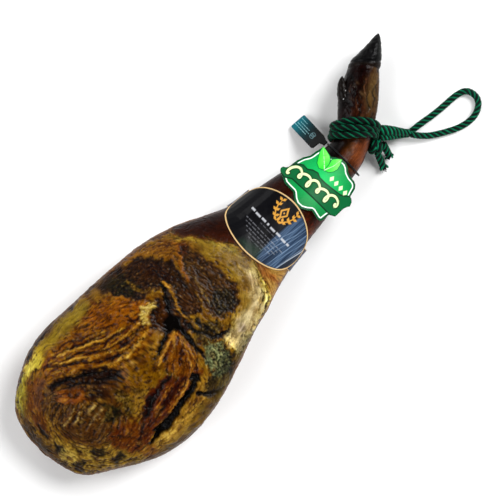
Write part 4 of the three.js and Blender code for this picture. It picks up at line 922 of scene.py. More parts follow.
form([(150, 300), (166, 294), (182, 304), (200, 330), (190, 344), (172, 340), (156, 330)], 9, -3.2)
form([(58, 392), (80, 386), (110, 386), (122, 400), (116, 424), (92, 436), (66, 424)], 12, 2.8)
form([(56, 382), (84, 370), (118, 366), (126, 376), (98, 382), (64, 388)], 5, -2.2)
form([(160, 388), (182, 380), (176, 404), (156, 428), (148, 416)], 7, 2.4)
form([(136, 362), (160, 360), (162, 380), (140, 384)], 8, 1.4)
form([(246, 276), (260, 286), (262, 312), (248, 334), (238, 332), (246, 306)], 8, 2.2)
form([(206, 396), (222, 392), (200, 424), (176, 440), (168, 438), (190, 416)], 6, 2.2)
form([(110, 306), (144, 302), (140, 322), (104, 332), (84, 334)], 10, 1.8)
form([(206, 344), (228, 344), (232, 372), (214, 378)], 6, -1.6)
form([(116, 272), (156, 266), (176, 280), (150, 288), (118, 292)], 8, -1.4)
form([(196, 268), (224, 284), (230, 304), (212, 304)], 8, -1.2)
RELIEF = RELIEF + FACE * (1.1 * BIG + 0.8 * LUMP + 0.3 * MOTTLE)

# ---------------------------------------------------------------- accents over it all
def streak(pts, wd, low, high, amount, lift=0.0, soft=1.0, rough=0.9, wet=None):
    m_ = line(pts, wd, soft, rough)
    lay(amount * m_, low, high, F, rough=wet)
    press(m_, -lift)


streak([(165, 282), (170, 287), (175, 296), (180, 307), (185, 316)], (2.6, 3.0, 2.2, 2.0, 0.8), (124, 76, 16), (184, 136, 58), 0.9, 1.4, wet=0.26)
# the dark streaks below follow the seams round the bone, their own dark colour deepened as painted shade
streak([(163, 286), (166, 295), (169, 306), (173, 316)], (0.8, 2.6, 3.6, 4.0), (16, 5, 2), (44, 20, 8), 0.85, -1.6)
streak([(171, 286), (177, 296), (183, 308), (190, 318)], (0.6, 1.6, 1.8, 1.0), (22, 8, 3), (48, 22, 10), 0.8, -1.0)
# painted shade: the cavity again near black
lay(0.9 * area([(167, 318), (173, 314), (180, 318), (182, 326), (174, 330), (166, 327)], 1.4, 1.2), (4, 2, 1), (24, 11, 6), F * 0.6)
streak([(172, 326), (167, 337), (161, 347), (157, 357)], (4.4, 3.2, 2.2, 0.9), (12, 4, 2), (40, 18, 8), 0.9, -1.6)
streak([(176, 328), (170, 342), (164, 354), (160, 364)], (0.8, 1.8, 1.6, 0.6), (150, 96, 26), (200, 150, 66), 0.7, 0.9)
streak([(181, 326), (189, 335), (197, 345), (205, 356)], (4.4, 4.2, 3.4, 1.2), (12, 5, 2), (42, 22, 10), 0.85, -1.6)
streak([(178, 332), (186, 344), (194, 354), (200, 366)], (0.8, 2.0, 1.8, 0.7), (140, 88, 22), (188, 138, 56), 0.7, 0.9)
streak([(190, 326), (202, 331), (214, 335), (228, 329)], (1.6, 3.4, 4.2, 1.0), (18, 10, 3), (52, 36, 18), 0.8, -1.2)
lay(0.75 * area([(141, 307), (148, 303), (155, 302), (156, 308), (150, 314), (150, 321), (143, 322), (140, 315)], 2, 2), (132, 96, 28), (204, 176, 108), F, rough=0.28)
lay(0.7 * area([(33, 362), (40, 358), (45, 360), (42, 367), (34, 371), (29, 374), (28, 368)], 2, 1.6), (158, 130, 44), (206, 184, 98), F, rough=0.28)
for pts in [[(148, 324), (132, 340), (116, 350)], [(140, 318), (120, 334), (98, 344), (78, 350)], [(146, 336), (126, 352), (104, 360), (82, 362)], [(112, 330), (90, 340), (66, 350)]]:
    streak(pts, [0.8] + [2.0] * (len(pts) - 2) + [0.8], (40, 14, 2), (70, 32, 6), 0.6, -0.9)
for pts in [[(150, 328), (136, 345), (120, 356)], [(144, 320), (124, 338), (104, 348)], [(106, 338), (84, 346), (62, 354)], [(96, 354), (76, 358), (56, 362)], [(126, 326), (106, 338), (88, 344)]]:
    streak(pts, (0.7, 1.6, 0.7), (160, 108, 28), (206, 158, 70), 0.65, 0.8, wet=0.24)
for pts in [[(56, 384), (72, 377), (90, 373), (108, 369)], [(60, 390), (78, 383), (98, 381), (118, 382)], [(96, 377), (112, 376), (126, 380)]]:
    streak(pts, [0.9] + [2.8] * (len(pts) - 2) + [0.9], (14, 5, 2), (44, 22, 9), 0.8, -1.0)
for pts in [[(104, 403), (98, 412), (91, 422)], [(96, 402), (90, 411), (83, 421)], [(112, 408), (106, 417), (99, 427)]]:
    streak(pts, (0.7, 1.4, 0.7), (124, 92, 42), (166, 136, 80), 0.4, 0.6, wet=0.24)
streak([(170, 376), (161, 388), (153, 400), (148, 414)], (1.2, 3.0, 3.8, 1.4), (18, 4, 1), (44, 14, 4), 0.75, -1.1)
streak([(184, 376), (175, 390), (166, 403), (156, 420)], (0.9, 2.0, 2.0, 0.9), (22, 6, 1), (50, 18, 5), 0.65, -0.9)
# the slit darkened again, and painted shade along its left side
streak([(197, 372), (198, 379), (192, 389), (184, 401), (176, 412), (166, 425), (158, 434), (150, 442)], (1.2, 2.8, 2.2, 2.6, 4.2, 5.0, 3.6, 1.0), (5, 2, 1), (30, 16, 8), 0.85, -0.6)
streak([(193, 384), (186, 394), (178, 405), (170, 415), (162, 424)], (1.5, 4.0, 4.5, 4.5, 2), (26, 9, 3), (66, 32, 12), 0.55, -0.7, soft=2.0)
streak([(191, 376), (186, 387), (178, 399), (169, 411)], (0.7, 1.6, 1.6, 0.7), (120, 74, 18), (176, 126, 48), 0.7, 0.8)
streak([(199, 392), (209, 393), (217, 390), (223, 387)], (2.4, 3.0, 2.0, 0.8), (14, 6, 2), (50, 30, 14), 0.85, -1.0)

# painted deep shade on the rind under the cord, left of the badge, and down the left of the pastern
lay(0.85 * area([(322, 150), (328, 132), (340, 137), (351, 139), (347, 146), (341, 152), (338, 160), (328, 158)], 4, 2), (6, 2, 1), (30, 12, 5), F)
lay(0.7 * area([(336, 68), (344, 60), (349, 74), (350, 92), (347, 108), (338, 112), (334, 92)], 4, 2), (8, 2, 1), (34, 12, 6), F)

spot = sstep(0.22, 0.5, MOTTLE + 0.5 * GRIT) * RIND
lay(0.4 * spot, (26, 8, 3), (52, 20, 8), F)
spot = sstep(0.2, 0.55, -MOTTLE + 0.3 * FINE) * RIND
lay(0.35 * spot, (120, 62, 28), (160, 98, 54), F)

PIVOT = np.array([84, 50, 14], dtype=np.float32)
COL = (PIVOT + (COL - PIVOT) * 1.26) * (0.92 - 0.12 * RIND[..., None])


def box_blur(a, r):
    for axis in (0, 1):
        for _ in range(2):
            pad = [(r + 1, r) if k == axis else (0, 0) for k in range(a.ndim)]
            c = np.cumsum(np.pad(a, pad, mode="edge"), axis=axis, dtype=np.float64)
            n = a.shape[axis]
            a = (np.take(c, np.arange(2 * r + 1, 2 * r + 1 + n), axis=axis) - np.take(c, np.arange(0, n), axis=axis)) / (2 * r + 1)
    return a


# crisper fibres, and painted shade that goes down to black in the folds
soft_ = box_blur(COL, 1)
COL = COL + (soft_ - COL) * 0.6
COL = COL + 0.42 * (COL - box_blur(COL, 14)) * (1 - RIND[..., None])
COL = COL + (box_blur(COL, 4) - COL) * 0.55 * (RIND * sstep(262, 232, VV))[..., None]
fold_shade = np.clip((box_blur(RELIEF, 9) - RELIEF) / 1.1, 0, 1)[..., None]
COL = COL * (1 - 0.6 * fold_shade)
# towards the lower right rim the fat turns brown
rimd = area([(214, 372), (232, 348), (250, 330), (262, 330), (240, 400), (200, 450), (150, 490), (118, 490), (140, 462), (176, 436), (204, 404)], 6, 3)
COL = COL * (1 - 0.45 * rimd[..., None])
# the shank and the foot are darker than the ham itself
foot_ = RIND * sstep(262, 218, VV)
COL = COL * (1 - foot_[..., None] * np.array([0.20, 0.30, 0.36]))
# mould in ragged patches
mo = area([(206, 346), (214, 338), (226, 334), (236, 340), (240, 352), (234, 366), (228, 378), (216, 374), (208, 362)], 4, 3)
COL = COL * (1 - (0.5 * mo * sstep(0.05, 0.4, MOTTLE + 0.6 * GRIT))[..., None])
# painted highlight: a warm olive light along the front of the pastern
olive_highlight = RIND * line([(377, 62), (374, 84), (369, 104)], (8, 11, 9), 5, 1.5)
COL = COL + (np.array([128, 98, 58]) * (0.75 + 0.3 * MOTTLE[..., None]) - COL) * (0.6 * olive_highlight)[..., None]
COL = COL * (1 - RIND[..., None] * 0.0) * np.array([0.90, 0.90, 0.80]) - np.array([2, 3, 6])
# smooth fat: the specks melt together, long soft streaks stay
fz = area([(196, 238), (216, 243), (240, 254), (254, 268), (262, 286), (258, 312), (248, 330), (236, 342), (228, 332), (238, 312), (240, 296), (236, 276), (222, 262), (206, 256), (192, 250)], 4, 3)
fz = np.clip(fz + area([(236, 372), (222, 400), (206, 424), (186, 446), (166, 458), (152, 456), (170, 438), (188, 418), (204, 396), (220, 376)], 4, 3), 0, 1)
fz = np.clip(fz + area([(44, 340), (60, 314), (84, 290), (104, 276), (118, 282), (100, 300), (78, 322), (58, 346), (46, 362), (34, 372)], 4, 3), 0, 1)
fz = np.clip(fz + 0.7 * area([(22, 380), (34, 376), (34, 400), (28, 430), (20, 424)], 4, 3), 0, 1) * (1 - RIND)
sm = box_blur(COL, 7) * (1 + (0.10 * BROAD + 0.09 * FINE + 0.05 * MOTTLE)[..., None])
COL = COL + (sm - COL) * (0.72 * fz)[..., None]
RELIEF = RELIEF + (box_blur(RELIEF, 5) - RELIEF) * 0.55 * fz
# paler, warmer flank at the lower right
lift_ = area([(236, 372), (222, 400), (206, 424), (186, 446), (176, 444), (190, 418), (206, 396), (222, 374)], 5, 3)
COL = COL * (1 + 0.16 * lift_[..., None])
# bare skin between cord and badge
lay(0.7 * area([(353, 145), (366, 142), (369, 152), (366, 164), (360, 178), (355, 174), (350, 160)], 4, 2), (70, 30, 10), (140, 78, 40), 0.3 + 0.5 * F + 0.4 * MOTTLE)
# painted shade in the wrinkles across the pastern, pressed in
for pts in [[(375, 86), (372, 93), (375, 100), (371, 108)], [(368, 92), (366, 100), (369, 108)], [(379, 78), (376, 86), (378, 94)], [(362, 84), (359, 92), (361, 100)]]:
    wr_ = line(pts, [0.5] + [1.3] * (len(pts) - 2) + [0.5], 0.9, 0.8)
    COL = COL * (1 - 0.6 * wr_[..., None])
    RELIEF = RELIEF - 0.7 * wr_
for pts in [[(357, 96), (355, 103), (357, 110)], [(351, 84), (349, 91)], [(366, 78), (364, 88), (366, 98)]]:
    wr_ = line(pts, [0.4] + [1.1] * max(0, len(pts) - 2) + [0.4], 0.8, 0.8)
    COL = COL + (np.array([150, 104, 66]) - COL) * 0.5 * wr_[..., None]
edge_ = area([(30,425),(40,432),(56,452),(46,450)], 5, 3)
COL = COL * (1 - 0.42 * edge_[..., None])
# last balance of single patches
for pts, gain in [
    ([(22, 380), (34, 372), (40, 352), (52, 340), (58, 350), (44, 372), (36, 400), (30, 430), (20, 424)], (1.16, 1.18, 1.0)),
    ([(204, 392), (222, 384), (232, 384), (206, 424), (186, 446), (166, 456), (158, 450), (180, 426)], (1.22, 1.20, 1.06)),
    ([(240, 268), (256, 276), (264, 288), (258, 316), (250, 330), (238, 326), (236, 300)], (1.12, 1.15, 1.25)),
    ([(204, 346), (214, 336), (228, 332), (240, 338), (244, 352), (234, 372), (222, 384), (210, 372)], (1.26, 1.24, 1.16)),
    ([(224, 332), (238, 322), (248, 332), (240, 350), (228, 344)], (0.86, 0.84, 1.0)),
    ([(240, 268), (256, 276), (264, 288), (258, 316), (250, 330), (238, 326), (236, 300)], (0.98, 0.98, 1.25)),
    ([(30, 425), (40, 432), (56, 452), (46, 450)], (0.88, 0.84, 0.75)),
    ([(264, 268), (274, 262), (292, 262), (288, 280), (276, 300), (262, 300)], (1.22, 1.28, 1.12)),
    ([(148, 258), (180, 252), (206, 262), (222, 280), (220, 300), (196, 300), (176, 284), (150, 276)], (0.90, 0.86, 0.80)),
    ([(184, 216), (216, 214), (244, 226), (262, 250), (250, 258), (226, 240), (196, 232)], (0.78, 0.66, 0.60)),
]:
    g_ = area(pts, 6, 3)[..., None]
    COL = COL * (1 + g_ * (np.array(gain) - 1))
COL = np.clip(COL, [3, 1.5, 1], 250)
COL = np.maximum(COL, [3, 1.5, 1])
COL = np.clip(COL * (1 + (0.06 * FINE + 0.03 * GRIT)[..., None]), 0, 255)
RELIEF = RELIEF + 0.14 * GRIT + 0.10 * FINE

# ---------------------------------------------------------------- leg surface
SECTIONS = np.array([
    [-336.0, 16.3, -334.8, -1.4, 44.0, 34.6], [-335.3, 26.1, -333.3, -11.6, 48.2, 30.7],
    [-333.9, 37.6, -331.0, -25.9, 53.6, 26.1], [-330.8, 50.0, -325.9, -41.4, 60.6, 20.4],
    [-326.0, 61.4, -315.1, -53.8, 68.8, 14.1], [-319.6, 70.9, -300.4, -63.4, 77.0, 8.5],
    [-311.6, 78.7, -286.0, -72.8, 84.4, 4.3], [-302.1, 85.7, -271.1, -83.0, 90.6, 1.6],
    [-291.3, 92.1, -253.6, -93.4, 95.4, 0.3], [-280.6, 97.7, -234.3, -102.4, 99.0, 0.0],
    [-270.3, 102.4, -214.6, -108.5, 101.5, 0.0], [-260.1, 106.4, -194.9, -111.7, 103.4, 0.0],
    [-246.8, 109.8, -173.9, -112.0, 105.4, 0.0], [-228.5, 112.0, -151.7, -110.1, 107.5, 0.0],
    [-208.3, 111.9, -131.9, -107.0, 109.3, 0.0], [-188.2, 110.2, -115.1, -102.8, 110.7, 0.0],
    [-167.3, 108.6, -99.2, -98.1, 111.7, 0.0], [-145.5, 106.9, -83.4, -93.3, 112.2, 0.0],
    [-122.6, 104.8, -67.6, -88.2, 112.1, 0.0], [-100.4, 102.4, -52.7, -83.5, 111.4, 0.0],
    [-81.4, 100.1, -39.4, -79.9, 110.2, 0.0], [-64.3, 97.4, -26.7, -77.1, 108.6, 0.0],
    [-46.2, 93.2, -14.6, -74.2, 106.6, 0.2], [-26.7, 86.8, -3.3, -71.2, 104.2, 0.8],
    [-9.0, 79.0, 7.3, -68.2, 101.4, 1.6], [7.4, 70.3, 17.5, -65.5, 98.5, 2.5],
    [25.2, 60.6, 28.0, -63.2, 95.5, 3.5], [42.5, 52.0, 39.9, -60.9, 92.5, 4.5],
    [56.4, 46.6, 53.3, -58.2, 89.6, 5.4], [68.8, 43.3, 67.3, -55.5, 86.8, 6.2],
    [81.6, 40.5, 80.7, -53.6, 84.0, 6.9], [95.1, 37.5, 93.2, -52.4, 81.2, 7.5],
    [109.5, 34.2, 105.3, -51.6, 78.4, 8.0], [124.4, 30.6, 118.0, -50.4, 75.5, 8.5],
    [138.8, 27.0, 131.7, -48.5, 72.6, 9.0], [152.0, 23.1, 146.3, -45.9, 69.7, 9.5],
    [163.1, 19.2, 160.8, -43.0, 66.9, 10.1], [172.1, 15.7, 173.8, -40.7, 64.4, 10.8],
    [179.8, 13.0, 185.2, -39.3, 62.0, 11.4], [187.3, 11.1, 195.4, -38.1, 59.9, 12.0],
    [194.7, 10.2, 204.7, -36.0, 58.1, 12.5], [201.7, 11.1, 213.4, -32.9, 56.7, 12.9],
    [208.3, 13.9, 222.3, -28.9, 55.7, 13.1], [214.4, 17.9, 232.5, -23.5, 55.1, 13.3],
    [220.3, 22.7, 243.5, -17.5, 54.8, 13.3], [226.7, 28.3, 254.0, -11.5, 54.8, 13.2],
    [233.8, 34.8, 263.7, -5.4, 55.1, 12.9], [241.3, 41.1, 273.0, 1.3, 55.5, 12.5],
    [248.7, 46.0, 281.9, 8.3, 56.0, 12.0], [255.8, 49.4, 289.6, 14.9, 56.5, 11.5],
    [262.5, 52.0, 295.8, 20.7, 56.8, 11.1], [268.7, 54.5, 300.7, 25.3, 57.0, 10.8],
    [274.6, 57.0, 304.4, 29.0, 57.0, 10.7], [280.2, 59.4, 307.5, 32.1, 57.0, 10.5],
])
BUTT = np.array([-335.4, 7.4, 40])
SHAPE_KEYS = np.array([
    [0, 0.50, 2.2, 2.1], [6, 0.53, 2.5, 2.15], [12, 0.56, 2.75, 2.2], [20, 0.56, 2.7, 2.2],
    [27, 0.53, 2.35, 2.2], [34, 0.50, 2.2, 2.15], [41, 0.50, 2.1, 2.1], [53, 0.50, 2.3, 2.3]])
SINK = 3.0
FOOT_Z = 33.8


def leg(s, phi):
    """Points of the smooth leg at stations s and angles phi (arrays of one shape)."""
    s, phi = np.broadcast_arrays(np.asarray(s, dtype=float), np.asarray(phi, dtype=float))
    n = len(SECTIONS)
    i = np.clip(np.floor(s).astype(int), 0, n - 2)
    t = (s - i)[..., None]
    a, b, c, d = SECTIONS[np.maximum(i - 1, 0)], SECTIONS[i], SECTIONS[i + 1], SECTIONS[np.minimum(i + 2, n - 1)]
    row = 0.5 * (2 * b + (c - a) * t + (2 * a - 5 * b + 4 * c - d) * t * t + (3 * b - a - 3 * c + d) * t ** 3)
    xl, yl, xr, yr, zt, zb = np.moveaxis(row, -1, 0)
    edge, ntop, nlow = [np.interp(s, SHAPE_KEYS[:, 0], SHAPE_KEYS[:, k]) for k in (1, 2, 3)]
    low = zb - SINK * np.clip((22 - s) / 4, 0, 1) * np.clip((s - 5) / 5, 0, 1)
    mid = low + (zt - low) * edge
    co, q = np.cos(phi), np.sin(phi)
    e = np.where(q >= 0, ntop, nlow)
    aa = np.sign(co) * np.abs(co) ** (2 / e)
    bb = np.abs(q) ** (2 / e)
    z = np.where(q >= 0, mid + (zt - mid) * bb, mid + (low - mid) * bb)
    return np.stack([(xl + xr) / 2 + (xr - xl) / 2 * aa, (yl + yr) / 2 + (yr - yl) / 2 * aa, np.maximum(z, 0)], axis=-1)


def noise3(x, y, z, scale, octaves=3, seed=0):
    """Solid noise from three plane noises, good enough for rind."""
    return (fbm(x + 0.37 * z, y - 0.21 * z, scale, octaves, seed) + fbm(y + 0.31 * x, z + 0.17 * x, scale, octaves, seed + 5)
            + fbm(z + 0.23 * y, x - 0.29 * y, scale, octaves, seed + 9)) / 2.1


def sample(grid, u, v):
    x = np.clip((u - PU0) * PR - 0.5, 0, PW - 1.001)
    y = np.clip((v - PV0) * PR - 0.5, 0, PH - 1.001)
    j, i = x.astype(int), y.astype(int)
    fx, fy = x - j, y - i
    if grid.ndim == 3:
        fx, fy = fx[..., None], fy[..., None]
    return grid[i, j] * (1 - fx) * (1 - fy) + grid[i, j + 1] * fx * (1 - fy) + grid[i + 1, j] * (1 - fx) * fy + grid[i + 1, j + 1] * fx * fy


def grid_normals(P):
    """Outward normals of a (rows, columns, 3) grid whose columns close."""
    du = np.gradient(P, axis=0)
    dv = np.roll(P, -1, axis=1) - np.roll(P, 1, axis=1)
    nrm = np.cross(dv, du)
    nrm /= np.maximum(np.linalg.norm(nrm, axis=2), 1e-9)[..., None]
    mid = P.mean(axis=1, keepdims=True)
    if np.mean(np.sum(nrm * (P - mid), axis=2)) < 0:
        nrm = -nrm
    return nrm


# even steps along the leg
probe = np.linspace(0, len(SECTIONS) - 1, 1200)
mid_line = (leg(probe, 0.0) + leg(probe, math.pi)) / 2
edge_l = np.linalg.norm(np.diff(leg(probe, 0.0), axis=0), axis=1)
edge_r = np.linalg.norm(np.diff(leg(probe, math.pi), axis=0), axis=1)
run = np.concatenate([[0], np.cumsum(np.maximum((edge_l + edge_r) / 2, np.linalg.norm(np.diff(mid_line, axis=0), axis=1)))])
ROWS = int(run[-1] / (1.15))
stations = np.interp(np.linspace(0, run[-1], ROWS), run, probe)
COLS = 400
turn = np.linspace(0, 2 * math.pi, 4001)
dens = np.where(np.sin(turn) > -0.15, 1.0, 0.42)
cum = np.concatenate([[0], np.cumsum((dens[1:] + dens[:-1]) / 2)])
phis = np.interp(np.arange(COLS) / COLS * cum[-1], cum, turn)

SS, PP = np.meshgrid(stations, phis, indexing="ij")
BASE = leg(SS, PP)
# the rounded butt: rings that shrink onto its middle
CAP = 14
ring0 = BASE[0]
cap = []
for k in range(CAP):
    g = (k + 0.6) / (CAP + 0.6)
    p = BUTT + (ring0 - BUTT) * g
    p[:, 0] -= 1.2 * math.sqrt(max(0.0, 1 - g * g))
    cap.append(p)
P0 = np.concatenate([np.array(cap), BASE], axis=0)
S_ALL = np.concatenate([np.zeros(CAP), stations])
NRM = grid_normals(P0)
for k in range(CAP + 3):
    w = 1 - k / (CAP + 3)
    NRM[k] = NRM[k] * (1 - w) + np.array([-1.0, 0, 0.1]) * w
NRM /= np.linalg.norm(NRM, axis=2)[..., None]

X, Y, Z = P0[..., 0], P0[..., 1], P0[..., 2]
pu, pv = to_plan(X, Y)
FACING = sstep(0.10, 0.48, NRM[..., 2])
SKIN_S = sstep(24.0, 27.5, S_ALL)[:, None] * np.ones_like(X)      # 1 on the shank

top_col, top_rel, top_wet = sample(COL, pu, pv), sample(RELIEF, pu, pv), sample(WET, pu, pv)
top_rel = top_rel * (1 - 0.35 * SKIN_S)

# rind of the sides and the belly
n_big = noise3(X, Y, Z, 46.0, 3, 61)
n_mid = noise3(X, Y, Z, 15.0, 4, 71)
n_fine = noise3(X, Y, Z, 4.0, 3, 81)
n_grit = noise3(X, Y, Z, 1.9, 2, 91)
# long folds that run with the leg
fold = fbm(X * 0.16 + 3, (np.cos(PP[0][None, :]) * 60) + Z * 0.5, 9.0, 3, 44)
low_z = np.clip(1 - Z / 45.0, 0, 1)
t = np.clip(0.42 + 0.55 * n_big + 0.55 * n_mid + 0.35 * n_fine, 0, 1)[..., None]
rind = np.array([74, 38, 12.0]) * (1 - t) + np.array([160, 112, 46.0]) * t
# darker patches from the noise, and painted shade that deepens towards the floor
dark = np.clip(sstep(0.12, 0.55, n_mid - 0.3 * n_big) * 0.75 + 0.35 * low_z, 0, 1)[..., None]
rind = rind * (1 - dark) + np.array([44, 22, 8.0]) * dark
pale = (sstep(0.25, 0.6, n_big + 0.5 * fold) * 0.55)[..., None]
rind = rind * (1 - pale) + np.array([186, 146, 76.0]) * pale
t = np.clip(0.35 + 0.5 * n_big + 0.6 * n_mid + 0.3 * n_fine, 0, 1)[..., None]
shank = np.array([16, 4, 2.0]) * (1 - t) + np.array([84, 36, 14.0]) * t
foot = sstep(41.5, 44.5, S_ALL)[:, None, None]
shank = shank * (1 - foot) + (np.array([10, 3, 2.0]) * (1 - t) + np.array([58, 30, 15.0]) * t) * foot
dust = (sstep(0.15, 0.5, n_mid - 0.6 * n_big + 0.4 * n_fine) * 0.34)[..., None]
rind = rind * (1 - dust) + np.array([150, 138, 100.0]) * dust
crack = (sstep(0.07, 0.0, np.abs(n_mid + 0.5 * fold)) * sstep(-0.1, 0.3, n_big) * 0.45)[..., None]
rind = rind * (1 - crack) + np.array([38, 18, 6.0]) * crack
k = SKIN_S[..., None]
side_col = rind * (1 - k) + shank * k
side_rel = 1.2 * n_mid + 0.75 * n_fine + 0.4 * n_grit + 0.9 * fold
side_rel = side_rel - 0.9 * sstep(0.06, 0.0, np.abs(n_mid + 0.5 * fold)) * sstep(-0.1, 0.3, n_big)
side_rel = side_rel * (1 - 0.6 * SKIN_S)
side_wet = np.clip(0.42 + 0.2 * n_mid, 0.26, 0.7)

# fine wrinkles across the pastern and the ankle
wr = np.sin(S_ALL[:, None] * 5.2 + 2.2 * n_mid * 3) * np.clip(n_big + 0.5, 0, 1)
side_rel = side_rel + 0.22 * wr * sstep(36, 41, S_ALL)[:, None]

# the rind creeps raggedly over the edge of the face
m = np.maximum(sstep(0.12, 0.46, NRM[..., 2] + 0.18 * n_mid + 0.10 * n_fine), sstep(0.45, 0.6, NRM[..., 2]))[..., None]
colour = side_col * np.array([0.84, 0.80, 0.72]) * (1 - m) + top_col * m
relief = side_rel * (1 - FACING) + top_rel * FACING
wet = side_wet * (1 - FACING) + top_wet * FACING

# what lies tight on the rind leaves it smooth
def calm(u, v, r0, r1):
    return 1 - sstep(r0, r1, np.hypot(pu - u, pv - v))


quiet = np.clip(calm(266, 227, 44, 60) + calm(318, 184, 34, 46) + calm(350, 143, 24, 34), 0, 1) * sstep(23.0, 25.5, S_ALL)[:, None]
relief = relief * (1 - 0.9 * quiet)
relief = relief * np.clip(Z / 2.0, 0, 1)         # the resting face stays flat
relief = np.clip(relief, -7.5, 3.0)
relief[-4:] *= np.array([0.7, 0.4, 0.2, 0.0])[:, None]
POINTS = P0 + NRM * relief[..., None]
POINTS[..., 2] = np.maximum(POINTS[..., 2], 0.0)

rows, cols = POINTS.shape[:2]
pts = np.vstack([POINTS.reshape(-1, 3), [BUTT - (1.2, 0, 0)], [leg(np.array(53.0), phis).mean(axis=0)]])
a, b = rows * cols, rows * cols + 1
quads = grid_faces(rows, cols)
tris = np.vstack([fan(a, np.arange(cols), True), fan(b, (rows - 1) * cols + np.arange(cols))])
cols_all = np.vstack([colour.reshape(-1, 3), colour[0].mean(axis=0), [20, 10, 8]])
wet_all = np.append(wet.ravel(), [0.4, 0.4])


# ---------------------------------------------------------------- claws and dewclaws
CLAW_BACK = np.array([[276.2, 56.3], [281.4, 59.9], [287.7, 62.5], [296.2, 61.8], [305.4, 61.5], [314.1, 61.3], [321.8, 61.4], [328.5, 61.7], [333.6, 61.3]])
CLAW_FRONT = np.array([[302.3, 28.3], [308.4, 31.0], [314.9, 35.0], [319.8, 39.4], [324.8, 44.4], [329.5, 49.2], [333.2, 53.6], [335.7, 57.1], [336.6, 59.5]])
CLAW_TIP = (336.2, 61.0)
CLAW_DEPTH = np.array([19, 22, 22, 20.5, 18.5, 16, 12.5, 8.5, 4.5])
CLAW_CLEFT = np.array([0.6, 0.6, 0.9, 1.3, 1.6, 1.6, 1.4, 1.2, 1.0])
DEW_PATH = np.array([[246.6, 35.8], [251.0, 42.1], [255.8, 47.9], [260.2, 52.4], [263.5, 55.3]])
DEW_TIP = (265.5, 57.0)
DEW_R = np.array([7.0, 6.6, 5.4, 3.9, 2.2])
DEW_Z = 12.5


def resample(table, n):
    table = np.asarray(table, dtype=float)
    x = np.linspace(0, len(table) - 1, n)
    i = np.clip(np.floor(x).astype(int), 0, len(table) - 2)
    t = x - i
    a, b, c, d = table[np.maximum(i - 1, 0)], table[i], table[i + 1], table[np.minimum(i + 2, len(table) - 1)]
    if table.ndim > 1:
        t = t[:, None]
    return 0.5 * (2 * b + (c - a) * t + (2 * a - 5 * b + 4 * c - d) * t * t + (3 * b - a - 3 * c + d) * t ** 3)


def closed_loft(name, R, first, last, colour, rough):
    rows, cols = R.shape[:2]
    pts = np.vstack([R.reshape(-1, 3), [first], [last]])
    ob = make_mesh(name, pts, [grid_faces(rows, cols), np.vstack([fan(rows * cols, np.arange(cols), True), fan(rows * cols + 1, (rows - 1) * cols + np.arange(cols))])])
    put_colour(ob, "tint", np.vstack([colour.reshape(-1, 3), colour[0].mean(axis=0), colour[-1].mean(axis=0)]))
    put_value(ob, "wet", np.append(rough.ravel(), [0.4, 0.4]))
    outward(ob)
    return ob


def spow(v, p):
    return np.sign(v) * np.abs(v) ** p


def claw(side):
    n = 90
    back, front = resample(CLAW_BACK, n), resample(CLAW_FRONT, n)
    depth, cleft = resample(CLAW_DEPTH, n), resample(CLAW_CLEFT, n)
    c, h = (back + front) / 2, (front - back) / 2
    a1 = np.arange(64) / 64 * math.pi
    a2 = math.pi + np.arange(26) / 26 * math.pi
    a = np.concatenate([a1, a2])
    ca = spow(np.cos(a), 0.8)
    up = np.where(a < math.pi, 0.12 + 0.88 * np.abs(np.sin(a)) ** 0.85, 0.12 * (1 + np.sin(a)))
    x = c[:, 0:1] + h[:, 0:1] * ca
    y = c[:, 1:2] + h[:, 1:2] * ca
    z = FOOT_Z + side * (cleft[:, None] + depth[:, None] * up)
    R = np.stack([x, y, z], axis=-1)
    nrm = grid_normals(R)
    k = np.arange(n)[:, None] / n
    # growth rings of the horn, chips, and the soft band where it starts
    n1 = noise3(x, y, z * side, 3.2, 3, 301)
    n2 = noise3(x, y, z * side, 9.0, 3, 311)
    rings = np.sin(k * 42 + 2.0 * n2) * 0.16 * sstep(0.2, 0.35, k)
    grain_ = fbm(a[None, :] * 9 + 0 * k, k * 10, 1.6, 3, 321)
    d = rings + 0.3 * n1 + 0.28 * grain_ - 0.8 * np.exp(-((k - 0.20) / 0.03) ** 2) + 0.5 * np.exp(-((k - 0.12) / 0.06) ** 2)
    R = R + nrm * (d * np.clip(depth[:, None] / 12, 0.25, 1))[..., None]
    t = np.clip(0.25 + 0.5 * n1 + 0.4 * n2 + 0.25 * grain_, 0, 1)[..., None]
    horn = np.array([2, 1.5, 2.0]) * (1 - t) + np.array([15, 14, 16.0]) * t
    # painted highlight: lighter and olive towards the front edge of the outer wall
    front_highlight = (sstep(0.25, 0.95, np.cos(a))[None, :] * sstep(0.25, 0.5, k) * (0.5 + 0.8 * np.clip(n2 + 0.3, 0, 1)))[..., None] * 0.6
    horn = horn * (1 - front_highlight) + np.array([42, 48, 42.0]) * front_highlight
    tan = (sstep(0.3, 0.7, n2 + 0.2 * n1) * 0.35)[..., None]
    horn = horn * (1 - tan) + np.array([44, 36, 22.0]) * tan
    skin = np.array([8, 3, 2.0]) * (1 - t) + np.array([46, 28, 17.0]) * t
    w = (1 - sstep(0.13, 0.21, k + 0.03 * n2))[..., None]
    col = horn * (1 - w) + skin * w
    first = np.array([(CLAW_BACK[0, 0] + CLAW_FRONT[0, 0]) / 2 - 2, (CLAW_BACK[0, 1] + CLAW_FRONT[0, 1]) / 2 - 1.6, FOOT_Z + side * 10])
    return closed_loft("claw", R, first, (CLAW_TIP[0], CLAW_TIP[1], FOOT_Z + side * 3), col, np.full(R.shape[:2], 0.46) + 0.1 * n1)


